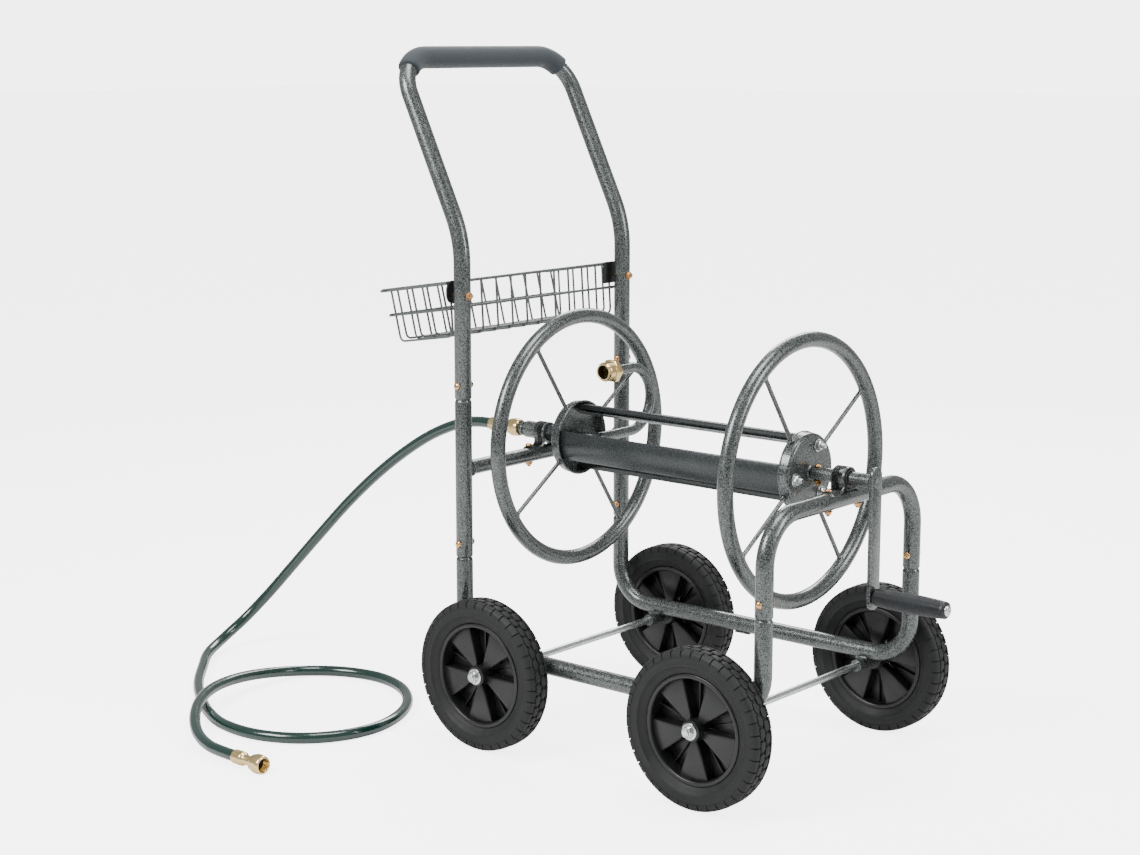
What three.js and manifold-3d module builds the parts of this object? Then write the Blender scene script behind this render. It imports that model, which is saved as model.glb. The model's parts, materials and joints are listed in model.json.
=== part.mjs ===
// Garden hose reel cart: a four-wheeled tube frame that carries a hand-cranked hose reel, a wire basket
// and a short supply hose. Millimetres, +Z up, +X from the push handle to the crank, ground at z = 0.
import * as THREE from 'three';
import Module from 'manifold-3d';
import { mergeVertices } from 'three/addons/utils/BufferGeometryUtils.js';

const wasm = await Module();
wasm.setup();

// ---------------------------------------------------------------- driving dimensions
// clearances
const FACE_GAP = 0.3; // between pieces that touch face to face
const SLIDE_GAP = 0.4; // round a tube or a rod that slides into another
const RUNNING_GAP = 0.5; // round a shaft that turns
const GRIP_END_PLAY = 1; // between the crank arm and the turning grip
const BOLT_HOLE_GAP = 0.5; // round a bolt's shank

// frame tubes
const FRAME_TUBE = 28;
const TUBE_WALL = 1.5;
const CROSS_TUBE = 25;
const POST_SPAN = 606; // rear posts to front posts
const FRAME_WIDTH = 412; // between the middles of the posts
const LOWER_JOINT_HEIGHT = 301;
const UPPER_JOINT_HEIGHT = 565;
const STUB_LENGTH = 46; // the swaged end that slides into the next tube
const SWAGE_LENGTH = 6;
const SIDE_BEND = 65;
const ARCH_BEND = 75;
const ARCH_HEIGHT = 450; // middle of the arch's top bar
const CROSS_HEIGHT = 448; // middle of the tube between the rear posts
const PROP_TAB = { along: 276, length: 30, width: 16, thickness: 3 };

// push handle
const HANDLE_BEND_HEIGHT = 827;
const HANDLE_HEIGHT = 1115;
const HANDLE_RAKE = 141;
const RAKE_BEND = 180;
const HANDLE_CORNER = 65;
const FOAM_WALL = 4.5; // the foam and the gap round the tube

// wheels and axles
const WHEEL_DIAMETER = 250;
const WHEEL_BASE = 437;
const WHEEL_OUTSET = 47; // from the posts to the middles of the tyres, across the cart
const TYRE_WIDTH = 46;
const RIM_DIAMETER = 173;
const RIM_WIDTH = 28;
const RIM_WALL = 7;
const HUB_BOSS = 34;
const BOSS_OUTSIDE = 20; // from the wheel's middle to the boss's outer end
const BLADE_COUNT = 5;
const BLADE_ANGLE = 38;
const BLADE_RISE = 7;
const BLADE_NARROWING = 0.8; // the blade's inner angle as a share of its outer angle
const WEB_THICKNESS = 5;
const AXLE_DIAMETER = 12;
const SLEEVE_DIAMETER = 20;
const SLEEVE_LENGTH = 48;
const TUBE_SIDES = 8;
const SLEEVE_SINK = 0.173; // into the tube's flats
const WHEEL_SIDE_PLAY = 0.4;
const NUT_ACROSS_CORNERS = 21;
const NUT_HEIGHT = 8;
const WASHER_DIAMETER = 26;
const WASHER_THICKNESS = 1.6;
const THREAD_SHOWING = 2;

// reel
const REEL_HEIGHT = 482; // the reel's axis
const HOOP_SPACING = 456;
const HOOP_RADIUS = 206; // middle of the hoop's tube
const HOOP_TUBE = 25;
const SPOKE_DIAMETER = 7;
const VENT_DIAMETER = 4.6; // from the hoop's hollow to its inside
const SPOKE_COUNT = 4;
const SPOKE_START = 34; // degrees from +Y towards +Z
const DISH_DIAMETER = 126;
const DISH_DEPTH = 20;
const DISH_WALL = 2.5;
const DISH_CORNER = 5;
const DISH_OUTSET = 14; // the dish's outer face beyond the hoop's middle plane
const PLATE_COUNT = 3;
const PLATE_START = 67; // degrees from +Y towards +Z
const PLATE_HALF_ANGLE = 26;
const PLATE_RADIUS = 57;
const PLATE_WALL = 2;
const PLATE_LIP = 8;
const TIE_RADIUS = 44; // from the reel's axis to the tie rods
const TIE_DIAMETER = 8;
const TIE_HEAD = 17;
const TIE_HEAD_HEIGHT = 7;
const TIE_THREAD_SHOWING = 8;

// water way
const PIPE_DIAMETER = 17.5;
const PIPE_BORE = 12;
const PIPE_OFFSET = 43; // from the rear dish's face to the pipe's curl
const PIPE_ELBOW = 28;
const PIPE_RISE = 110;
const PIPE_REACH = 155;
const OUTLET_PLACE = 57; // from the axis to the outlet fitting, across the cart
const OUTLET_HEX = 41;
const OUTLET_HEX_HEIGHT = 12;
const OUTLET_THREAD = 33;
const OUTLET_THREAD_LENGTH = 18;
const OUTLET_BORE = 23;
const SWIVEL_NECK = 21;
const SWIVEL_BODY = 29;
const SWIVEL_NECK_START = -74; // places along X from the rear posts
const SWIVEL_STEP = -42;
const SWIVEL_END = 8;
const JOURNAL_DIAMETER = 16;
const JOURNAL_LENGTH = 46;
const STEM_HEX = 31;
const STEM_HEX_START = 11;
const STEM_HEX_LENGTH = 26;

// bearing straps
const STRAP_THICKNESS = 2.5;
const STRAP_WIDTH = 24;
const STRAP_WRAP = 35; // degrees that the strap closes in under the middle
const STRAP_BOLT_REACH = 41; // from the axis to the bolts
const STRAP_FOOT_REACH = 52;
const REAR_STRAP_PLACE = -3; // along X from the rear posts
const BUSH_DIAMETER = 30;
const BUSH_LENGTH = 30;

// crank
const SHAFT_DIAMETER = 22;
const STUB_SHAFT = 16;
const STUB_SHAFT_LENGTH = 50;
const SHAFT_START = 5; // from the front dish's face
const SHAFT_PAST_POSTS = 55; // from the front posts to the arm
const CRANK_BOLT_PLACE = 13; // from the front dish's face
const ARM_WIDTH = 28;
const ARM_THICKNESS = 6;
const CRANK_THROW = 179;
const ARM_TOP = 23;
const ARM_BOTTOM = 21;
const GRIP_LENGTH = 126;
const GRIP_DIAMETER = 31;
const GRIP_PIN = 8;
const GRIP_SCREW = 17;
const GRIP_SCREW_HEIGHT = 4;

// wire basket
const BASKET_PAST_POSTS = 7; // each end beyond the middles of the posts
const BASKET_DEPTH = 152;
const BASKET_HEIGHT = 94;
const BASKET_TAPER = 9; // how far each wall leans in at the bottom
const BASKET_WALL = 4;
const BASKET_TILT = 9; // degrees that the floor drops to the rear
const BASKET_RIM_HEIGHT = 758;
const BASKET_SETBACK = 23; // from the rear posts to the basket's front wall
const BRACKET = { width: 41, height: 38, thickness: 3 };
const BRACKET_OVERHANG = 8; // beyond the end of the basket
const BRACKET_WEB_PLACE = 29; // from the end of the basket to the web behind the bracket
const BASKET_BOLT_HEIGHT = 735;

// bolts
const BOLT_DIAMETER = 6;
const BOLT_HEAD = 12;
const BOLT_HEAD_HEIGHT = 4;
const BOLT_NUT_HEIGHT = 5;
const BOLT_TIP = 3;
const BOLT_ABOVE_JOINT = 22;

// supply hose and its brass fittings
const HOSE_DIAMETER = 19;
const HOSE_BORE = 12;
const FERRULE_DIAMETER = 23;
const FERRULE_LENGTH = 26;
const TAIL_DIAMETER = 16;
const TAIL_LENGTH = 26;
const COUPLING_DIAMETER = 31;
const COUPLING_LENGTH = 26;
const COUPLING_COLLAR = 6;
const SEAL_THICKNESS = 3;
const HOSE_STEPS = 56;

// The hose's own route from the inlet ferrule to the end ferrule, laid by hand.
const HOSE_ROUTE = [
  [-439.2, 0, 482], [-458, 0, 482], [-494, -1, 478], [-537, -2, 465], [-586, -4, 443],
  [-642, -8, 409], [-706, -14, 362], [-776, -22, 301], [-846, -34, 229], [-907, -48, 162],
  [-956, -70, 101], [-986, -103, 55], [-992, -151, 26], [-969, -210, 13], [-912, -273, 10],
  [-838, -345, 10], [-762, -402, 10], [-690, -445, 10], [-620, -471, 10], [-540, -471, 10],
  [-470, -437, 10], [-428, -380, 10], [-416, -312, 10], [-436, -240, 10], [-480, -176, 10],
  [-545, -128, 10], [-620, -110, 10], [-695, -128, 10], [-748, -176, 12], [-766, -250, 21],
  [-760, -324, 29], [-738, -394, 33], [-701, -456, 31.5], [-650, -510, 26], [-595, -549, 19],
  [-540, -571, 16], [-490, -577, 15.8], [-470, -577.5, 15.8],
];

// ---------------------------------------------------------------- places worked out from the sizes
const GRIP_PLACE = POST_SPAN + SHAFT_PAST_POSTS + ARM_THICKNESS + GRIP_END_PLAY;
const FRONT_REACH = GRIP_PLACE + GRIP_LENGTH + FACE_GAP + GRIP_SCREW_HEIGHT;
const TILT = THREE.MathUtils.degToRad(BASKET_TILT);
const REAR_REACH = BASKET_SETBACK + BASKET_DEPTH * Math.cos(TILT);
const REAR_X = (REAR_REACH - FRONT_REACH) / 2; // centres the cart on the origin
const FRONT_X = REAR_X + POST_SPAN;
const HALF_WIDTH = FRAME_WIDTH / 2;
const AXLE_HEIGHT = WHEEL_DIAMETER / 2;
const AXLE_REAR_X = REAR_X + (POST_SPAN - WHEEL_BASE) / 2;
const AXLE_FRONT_X = AXLE_REAR_X + WHEEL_BASE;
const FLAT_SHARE = Math.cos(Math.PI / TUBE_SIDES); // a tube's flats as a share of its radius
const SIDE_HEIGHT = AXLE_HEIGHT + (FLAT_SHARE * (SLEEVE_DIAMETER + FRAME_TUBE)) / 2 - SLEEVE_SINK;
const FOAM_DIAMETER = FRAME_TUBE + 2 * FOAM_WALL;
const BASKET_WIDTH = FRAME_WIDTH + 2 * BASKET_PAST_POSTS;
const TUBE_BORE = FRAME_TUBE - 2 * TUBE_WALL;
const STUB_DIAMETER = TUBE_BORE - 2 * SLIDE_GAP;
const STUB_BORE = STUB_DIAMETER - 2 * TUBE_WALL;
const WHEEL_MIDDLE = HALF_WIDTH + WHEEL_OUTSET;
const SLEEVE_END = WHEEL_MIDDLE - BOSS_OUTSIDE - 5;
const WHEEL_INNER_REACH = WHEEL_MIDDLE - SLEEVE_END - WHEEL_SIDE_PLAY;
const NUT_START = WHEEL_MIDDLE + BOSS_OUTSIDE + WHEEL_SIDE_PLAY;
const AXLE_END = NUT_START + WASHER_THICKNESS + NUT_HEIGHT + THREAD_SHOWING;
const REEL_MIDDLE_X = REAR_X + POST_SPAN / 2 + 1;
const HOOP_REAR_X = REEL_MIDDLE_X - HOOP_SPACING / 2;
const HOOP_FRONT_X = REEL_MIDDLE_X + HOOP_SPACING / 2;
const DISH_REAR_X = HOOP_REAR_X - DISH_OUTSET;
const DISH_FRONT_X = HOOP_FRONT_X + DISH_OUTSET;
const PIPE_X = DISH_REAR_X + PIPE_OFFSET;
const SHAFT_START_X = DISH_FRONT_X + SHAFT_START;
const ARM_X = FRONT_X + SHAFT_PAST_POSTS;
const GRIP_X = REAR_X + GRIP_PLACE;
const GRIP_HEIGHT = REEL_HEIGHT - CRANK_THROW;
const CRANK_BOLT_X = DISH_FRONT_X + CRANK_BOLT_PLACE;

// facet counts of the round pieces
const BORE_SIDES = 6;
const SMALL_SIDES = 8;
const DISH_SIDES = 18;
const TYRE_SIDES = 24;
const HOOP_STEPS = 24;

// ---------------------------------------------------------------- materials
function paint(color, roughness, metalness) {
  return new THREE.MeshStandardMaterial({ color, roughness, metalness });
}

const HAMMERTONE = paint(0x565b5a, 0.35, 0.6);
const SMOOTH_PAINT = paint(0x33373a, 0.45, 0.4);
const FOAM = paint(0x4a5359, 0.9, 0);
const RUBBER = paint(0x2b2c2c, 0.85, 0);
const PLASTIC = paint(0x1c1d1d, 0.5, 0);
const ZINC = paint(0xc9ccc9, 0.3, 0.9);
const GOLD_ZINC = paint(0xc59a5c, 0.35, 0.85);
const BRASS = paint(0xd8b46a, 0.3, 0.9);
const PIPE_PAINT = paint(0x50565a, 0.3, 0.6);
const HOSE_VINYL = paint(0x143f38, 0.3, 0);
const WIRE = paint(0x5b6060, 0.45, 0.5);

// ---------------------------------------------------------------- shapes
const radians = THREE.MathUtils.degToRad;
const vector = (x, y, z) => new THREE.Vector3(x, y, z);

// From a drawing plane to across the cart: its x to Y, its y to Z and its depth to X.
const acrossCart = new THREE.Matrix4().makeBasis(vector(0, 1, 0), vector(0, 0, 1), vector(1, 0, 0));

// The corner radius of a polygon whose flats stand at the given radius.
const roundFlats = (radius, sides) => radius / Math.cos(Math.PI / sides);

function discShape(radius, sides) {
  const shape = new THREE.Shape();
  for (let i = 0; i < sides; i++) {
    const angle = ((i + 0.5) * 2 * Math.PI) / sides;
    const point = [radius * Math.cos(angle), radius * Math.sin(angle)];
    if (i === 0) shape.moveTo(...point);
    else shape.lineTo(...point);
  }
  shape.closePath();
  return shape;
}

// A route of straight runs joined by round bends, with one station at each end of a bend and a few in it.
class BentPath extends THREE.Curve {
  constructor(corners, bends, stepAngle = 30) {
    super();
    this.points = [corners[0].clone()];
    this.tangents = [corners[1].clone().sub(corners[0]).normalize()];
    for (let i = 1; i < corners.length - 1; i++) this.addBend(corners, i, bends[i - 1], stepAngle);
    const last = corners.length - 1;
    this.addStation(corners[last], corners[last].clone().sub(corners[last - 1]).normalize());
  }

  addStation(point, tangent) {
    const before = this.points[this.points.length - 1];
    if (before.distanceTo(point) < 0.01) return;
    this.points.push(point.clone());
    this.tangents.push(tangent.clone());
  }

  addBend(corners, i, radius, stepAngle) {
    const into = corners[i].clone().sub(corners[i - 1]).normalize();
    const out = corners[i + 1].clone().sub(corners[i]).normalize();
    const turn = into.angleTo(out);
    const start = corners[i].clone().addScaledVector(into, -radius * Math.tan(turn / 2));
    const side = out.clone().addScaledVector(into, -out.dot(into)).normalize();
    const steps = Math.max(2, Math.round(THREE.MathUtils.radToDeg(turn) / stepAngle));
    for (let k = 0; k <= steps; k++) {
      const angle = (turn * k) / steps;
      const point = start.clone().addScaledVector(into, radius * Math.sin(angle));
      point.addScaledVector(side, radius * (1 - Math.cos(angle)));
      const tangent = into.clone().multiplyScalar(Math.cos(angle)).addScaledVector(side, Math.sin(angle));
      this.addStation(point, tangent);
    }
  }

  get steps() {
    return this.points.length - 1;
  }

  getPoint(t, target = new THREE.Vector3()) {
    const place = t * this.steps;
    const i = Math.min(Math.floor(place + 1e-6), this.steps - 1);
    return target.lerpVectors(this.points[i], this.points[i + 1], place - i);
  }

  getPointAt(u, target) {
    return this.getPoint(u, target);
  }

  getTangentAt(u, target = new THREE.Vector3()) {
    return target.copy(this.tangents[Math.round(u * this.steps)]);
  }

  // The stretch between two stations.
  stretch(from, to) {
    const part = Object.create(this);
    part.points = this.points.slice(from, to + 1);
    part.tangents = this.tangents.slice(from, to + 1);
    return part;
  }
}

const sweep = (path, radius, sides) =>
  new THREE.ExtrudeGeometry(discShape(radius, sides), { steps: path.steps, extrudePath: path });

// A turned piece. The profile lists radius and height in turn and closes on itself or on the axis.
function turned(profile, sides, turn = Math.PI) {
  const points = profile.map(([radius, height]) => new THREE.Vector2(radius, height));
  return new THREE.LatheGeometry(points, sides, turn / sides);
}

// Turns a piece made along Y so that its height runs along another axis.
const ALONG = {
  x: (geometry) => geometry.rotateZ(-Math.PI / 2),
  y: (geometry) => geometry,
  z: (geometry) => geometry.rotateX(Math.PI / 2),
};

// A rod or a bore from one place to another along an axis. Bores keep their flats at the radius.
function rod(axis, radius, from, to, at, sides = TUBE_SIDES) {
  const profile = [[0, from], [radius, from], [radius, to], [0, to]];
  return ALONG[axis](turned(profile, sides)).translate(...at);
}

const bore = (axis, radius, from, to, at, sides = BORE_SIDES) =>
  rod(axis, roundFlats(radius, sides), from, to, at, sides);

function asSolid(geometry) {
  const bare = geometry.clone();
  bare.deleteAttribute('normal');
  bare.deleteAttribute('uv');
  const merged = mergeVertices(bare, 1e-4);
  const corners = [];
  const index = merged.index.array;
  for (let i = 0; i < index.length; i += 3) {
    const [a, b, c] = [index[i], index[i + 1], index[i + 2]];
    if (a !== b && b !== c && c !== a) corners.push(a, b, c);
  }
  const mesh = new wasm.Mesh({
    numProp: 3,
    vertProperties: new Float32Array(merged.attributes.position.array),
    triVerts: new Uint32Array(corners),
  });
  return new wasm.Manifold(mesh);
}

function asGeometry(solid) {
  const mesh = solid.getMesh();
  const geometry = new THREE.BufferGeometry();
  geometry.setAttribute('position', new THREE.BufferAttribute(mesh.vertProperties, 3));
  geometry.setIndex(new THREE.BufferAttribute(mesh.triVerts, 1));
  return geometry;
}

// Joins a list of shapes, then takes another list away.
function weld(shapes, cuts = []) {
  let solid = asSolid(shapes[0]);
  for (const shape of shapes.slice(1)) solid = solid.add(asSolid(shape));
  for (const cut of cuts) solid = solid.subtract(asSolid(cut));
  return asGeometry(solid);
}

const group = new THREE.Group();

function add(name, geometry, material) {
  const mesh = new THREE.Mesh(geometry, material);
  mesh.name = name;
  group.add(mesh);
  return mesh;
}

// ---------------------------------------------------------------- frame
const HOLE_RADIUS = BOLT_DIAMETER / 2 + BOLT_HOLE_GAP;
const SIDES = [['near', -1], ['far', 1]];
const ENDS = [['rear', REAR_X, AXLE_REAR_X], ['front', FRONT_X, AXLE_FRONT_X]];

// The outside of a swaged stub above a joint, and its bore.
function stub(x, y, joint) {
  const profile = [
    [0, joint - SWAGE_LENGTH - 1],
    [FRAME_TUBE / 2, joint - SWAGE_LENGTH - 1],
    [FRAME_TUBE / 2, joint - SWAGE_LENGTH],
    [STUB_DIAMETER / 2, joint - FACE_GAP],
    [STUB_DIAMETER / 2, joint + STUB_LENGTH],
    [0, joint + STUB_LENGTH],
  ];
  return ALONG.z(turned(profile, TUBE_SIDES)).translate(x, y, 0);
}

const stubBore = (x, y, joint) =>
  bore('z', STUB_BORE / 2, joint - SWAGE_LENGTH - 3, joint + STUB_LENGTH + 1, [x, y, 0]);

const jointHole = (x, y, joint) =>
  bore('y', HOLE_RADIUS, -FRAME_TUBE, FRAME_TUBE, [x, y, joint + BOLT_ABOVE_JOINT]);

function handleCorners(end) {
  const rakeX = REAR_X - HANDLE_RAKE;
  return [
    vector(REAR_X, -HALF_WIDTH, end),
    vector(REAR_X, -HALF_WIDTH, HANDLE_BEND_HEIGHT),
    vector(rakeX, -HALF_WIDTH, HANDLE_HEIGHT),
    vector(rakeX, HALF_WIDTH, HANDLE_HEIGHT),
    vector(REAR_X, HALF_WIDTH, HANDLE_BEND_HEIGHT),
    vector(REAR_X, HALF_WIDTH, end),
  ];
}

function addHandle() {
  const bends = [RAKE_BEND, HANDLE_CORNER, HANDLE_CORNER, RAKE_BEND];
  const path = new BentPath(handleCorners(UPPER_JOINT_HEIGHT), bends);
  const borePath = new BentPath(handleCorners(UPPER_JOINT_HEIGHT - 1), bends);
  const cuts = [sweep(borePath, roundFlats(TUBE_BORE / 2, TUBE_SIDES), TUBE_SIDES)];
  for (const [, side] of SIDES) {
    cuts.push(jointHole(REAR_X, side * HALF_WIDTH, UPPER_JOINT_HEIGHT));
    const place = [REAR_X, side * HALF_WIDTH, BASKET_BOLT_HEIGHT];
    cuts.push(bore('x', HOLE_RADIUS, -FRAME_TUBE, FRAME_TUBE, place));
  }
  add('handle_tube', weld([sweep(path, FRAME_TUBE / 2, TUBE_SIDES)], cuts), HAMMERTONE);

  // The foam runs from half way round one corner to half way round the other.
  const middle = path.steps / 2;
  const straight = path.points.findIndex((point) => point.z > HANDLE_HEIGHT - 0.5);
  const reach = Math.round(middle - straight) + 2;
  const held = path.stretch(Math.ceil(middle - reach), Math.floor(middle + reach));
  const inner = roundFlats(FRAME_TUBE / 2 + FACE_GAP, TUBE_SIDES);
  const shape = discShape(FOAM_DIAMETER / 2, TUBE_SIDES);
  shape.holes.push(discShape(inner, TUBE_SIDES));
  add('handle_foam_grip', new THREE.ExtrudeGeometry(shape, { steps: held.steps, extrudePath: held }), FOAM);
}

function addRearFrame() {
  const posts = [];
  const cuts = [];
  for (const [, side] of SIDES) {
    const y = side * HALF_WIDTH;
    const top = UPPER_JOINT_HEIGHT - SWAGE_LENGTH - 0.5;
    posts.push(rod('z', FRAME_TUBE / 2, LOWER_JOINT_HEIGHT, top, [REAR_X, y, 0]));
    posts.push(stub(REAR_X, y, UPPER_JOINT_HEIGHT));
    cuts.push(bore('z', TUBE_BORE / 2, LOWER_JOINT_HEIGHT - 1, top - 1, [REAR_X, y, 0], TUBE_SIDES));
    cuts.push(bore('z', STUB_BORE / 2, top - 2, UPPER_JOINT_HEIGHT + STUB_LENGTH + 1, [REAR_X, y, 0]));
    cuts.push(jointHole(REAR_X, y, LOWER_JOINT_HEIGHT), jointHole(REAR_X, y, UPPER_JOINT_HEIGHT));
    const boltPlace = [REAR_X + REAR_STRAP_PLACE, side * STRAP_BOLT_REACH, CROSS_HEIGHT];
    cuts.push(bore('z', HOLE_RADIUS, -CROSS_TUBE, CROSS_TUBE, boltPlace));
  }
  posts.push(rod('y', CROSS_TUBE / 2, -HALF_WIDTH, HALF_WIDTH, [REAR_X, 0, CROSS_HEIGHT]));
  cuts.push(bore('y', CROSS_TUBE / 2 - TUBE_WALL, -HALF_WIDTH, HALF_WIDTH, [REAR_X, 0, CROSS_HEIGHT]));
  add('rear_frame', weld(posts, cuts), HAMMERTONE);
}

function sideCorners(y, end) {
  return [
    vector(REAR_X, y, end),
    vector(REAR_X, y, SIDE_HEIGHT),
    vector(FRONT_X, y, SIDE_HEIGHT),
    vector(FRONT_X, y, end),
  ];
}

function addSideFrame(name, side) {
  const y = side * HALF_WIDTH;
  const end = LOWER_JOINT_HEIGHT - SWAGE_LENGTH - 0.5;
  const bends = [SIDE_BEND, SIDE_BEND];
  const shapes = [sweep(new BentPath(sideCorners(y, end), bends), FRAME_TUBE / 2, TUBE_SIDES)];
  const borePath = new BentPath(sideCorners(y, end - 1), bends);
  const cuts = [sweep(borePath, roundFlats(TUBE_BORE / 2, BORE_SIDES), BORE_SIDES)];
  for (const [, postX, axleX] of ENDS) {
    shapes.push(stub(postX, y, LOWER_JOINT_HEIGHT));
    cuts.push(stubBore(postX, y, LOWER_JOINT_HEIGHT), jointHole(postX, y, LOWER_JOINT_HEIGHT));
    const reach = [side * SLEEVE_END, side * (SLEEVE_END - SLEEVE_LENGTH)].sort((a, b) => a - b);
    const place = [axleX, 0, AXLE_HEIGHT];
    shapes.push(rod('y', SLEEVE_DIAMETER / 2, reach[0], reach[1], place));
    cuts.push(bore('y', AXLE_DIAMETER / 2 + FACE_GAP, reach[0] - 1, reach[1] + 1, place));
  }
  if (side > 0) {
    const tab = new THREE.BoxGeometry(PROP_TAB.length, PROP_TAB.width, PROP_TAB.thickness);
    const tabZ = SIDE_HEIGHT - FRAME_TUBE / 2;
    shapes.push(tab.translate(REAR_X + PROP_TAB.along, y, tabZ));
  }
  add(`side_frame_${name}`, weld(shapes, cuts), HAMMERTONE);
}

function addArch() {
  const corners = (end) => [
    vector(FRONT_X, -HALF_WIDTH, end),
    vector(FRONT_X, -HALF_WIDTH, ARCH_HEIGHT),
    vector(FRONT_X, HALF_WIDTH, ARCH_HEIGHT),
    vector(FRONT_X, HALF_WIDTH, end),
  ];
  const bends = [ARCH_BEND, ARCH_BEND];
  const outside = sweep(new BentPath(corners(LOWER_JOINT_HEIGHT), bends), FRAME_TUBE / 2, TUBE_SIDES);
  const inside = new BentPath(corners(LOWER_JOINT_HEIGHT - 1), bends);
  const cuts = [sweep(inside, roundFlats(TUBE_BORE / 2, TUBE_SIDES), TUBE_SIDES)];
  for (const [, side] of SIDES) {
    cuts.push(jointHole(FRONT_X, side * HALF_WIDTH, LOWER_JOINT_HEIGHT));
    const boltPlace = [FRONT_X, side * STRAP_BOLT_REACH, ARCH_HEIGHT];
    cuts.push(bore('z', HOLE_RADIUS, -FRAME_TUBE, FRAME_TUBE, boltPlace));
  }
  add('front_arch', weld([outside], cuts), HAMMERTONE);
}

// ---------------------------------------------------------------- bolts
// A bolt with its nut, made along Y: the head's underside at 0 and the nut after the grip length.
function boltShape(grip) {
  const shank = BOLT_DIAMETER / 2;
  const head = BOLT_HEAD / 2;
  return turned([
    [0, -FACE_GAP - BOLT_HEAD_HEIGHT],
    [head * 0.7, -FACE_GAP - BOLT_HEAD_HEIGHT],
    [head, -FACE_GAP - 1],
    [head, -FACE_GAP],
    [shank, -FACE_GAP],
    [shank, grip + FACE_GAP],
    [head, grip + FACE_GAP],
    [head, grip + FACE_GAP + BOLT_NUT_HEIGHT],
    [shank, grip + FACE_GAP + BOLT_NUT_HEIGHT],
    [shank, grip + FACE_GAP + BOLT_NUT_HEIGHT + BOLT_TIP],
    [0, grip + FACE_GAP + BOLT_NUT_HEIGHT + BOLT_TIP],
  ], 6);
}

function addBolts() {
  const half = FRAME_TUBE / 2;
  for (const [name, side] of SIDES) {
    const y = side * HALF_WIDTH;
    const joints = [
      ['upper', REAR_X, UPPER_JOINT_HEIGHT],
      ['rear', REAR_X, LOWER_JOINT_HEIGHT],
      ['front', FRONT_X, LOWER_JOINT_HEIGHT],
    ];
    for (const [place, x, joint] of joints) {
      const shape = boltShape(FRAME_TUBE).translate(x, y - half, joint + BOLT_ABOVE_JOINT);
      add(`frame_bolt_${place}_${name}`, shape, GOLD_ZINC);
    }
    // The basket's bolts start behind its brackets and end in front of the posts.
    const grip = FRAME_TUBE + BRACKET_GAP + BRACKET.thickness;
    const basketBolt = ALONG.x(boltShape(grip));
    basketBolt.translate(REAR_X + half - grip, y, BASKET_BOLT_HEIGHT);
    add(`basket_bolt_${name}`, basketBolt, GOLD_ZINC);
    // The strap bolts point down through the straps' feet and the tubes.
    const straps = [
      ['rear', REAR_X + REAR_STRAP_PLACE, CROSS_HEIGHT, CROSS_TUBE],
      ['front', FRONT_X, ARCH_HEIGHT, FRAME_TUBE],
    ];
    for (const [place, x, middle, tube] of straps) {
      const top = middle + tube / 2 + FACE_GAP + STRAP_THICKNESS;
      const shape = boltShape(tube + FACE_GAP + STRAP_THICKNESS).rotateX(-Math.PI / 2);
      add(`strap_bolt_${place}_${name}`, shape.translate(x, side * STRAP_BOLT_REACH, top), GOLD_ZINC);
    }
  }
  const radius = SHAFT_DIAMETER / 2;
  const crankBolt = boltShape(SHAFT_DIAMETER).rotateX(-Math.PI / 2);
  add('crank_bolt', crankBolt.translate(CRANK_BOLT_X, 0, REEL_HEIGHT + radius), GOLD_ZINC);
}

// ---------------------------------------------------------------- wheels
function tyreProfile() {
  const outside = WHEEL_DIAMETER / 2;
  const inside = RIM_DIAMETER / 2 + FACE_GAP;
  const half = TYRE_WIDTH / 2;
  const bead = RIM_WIDTH / 2;
  const edge = [
    [inside, bead],
    [inside + 18, half],
    [outside - 6, half - 1],
    [outside, half - 9],
  ];
  const mirrored = edge.map(([radius, height]) => [radius, -height]).reverse();
  const outline = [...edge, ...mirrored, edge[0]];
  return outline.map(([radius, height]) => [roundFlats(radius, TYRE_SIDES), height]).reverse();
}

function bladeShape(inner, outer) {
  const half = radians(BLADE_ANGLE / 2);
  const shape = new THREE.Shape();
  shape.absarc(0, 0, outer, -half, half, false);
  shape.absarc(0, 0, inner, half * BLADE_NARROWING, -half * BLADE_NARROWING, true);
  shape.closePath();
  return shape;
}

// A wheel's hub, made with its outer side towards +Y.
function hubShape() {
  const rim = RIM_DIAMETER / 2;
  const rimInside = rim - RIM_WALL;
  const halfRim = RIM_WIDTH / 2;
  const web = WEB_THICKNESS / 2;
  const boss = HUB_BOSS / 2;
  const body = turned([
    [0, -WHEEL_INNER_REACH],
    [boss, -WHEEL_INNER_REACH],
    [boss, -web],
    [rimInside, -web],
    [rimInside, -halfRim],
    [rim, -halfRim],
    [rim, halfRim],
    [rimInside, halfRim],
    [rimInside, web],
    [boss, web],
    [boss, BOSS_OUTSIDE],
    [0, BOSS_OUTSIDE],
  ], TYRE_SIDES);
  const shapes = [body];
  for (let i = 0; i < BLADE_COUNT; i++) {
    const settings = { depth: BLADE_RISE + web, bevelEnabled: false, curveSegments: 2 };
    const blade = new THREE.ExtrudeGeometry(bladeShape(boss - 3, rimInside + 2), settings);
    blade.rotateX(-Math.PI / 2).rotateY((i * 2 * Math.PI) / BLADE_COUNT + Math.PI / 10);
    shapes.push(blade);
  }
  const hole = bore('y', AXLE_DIAMETER / 2 + RUNNING_GAP, -2 * WHEEL_MIDDLE, 2 * WHEEL_MIDDLE, [0, 0, 0]);
  return weld(shapes, [hole]);
}

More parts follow.
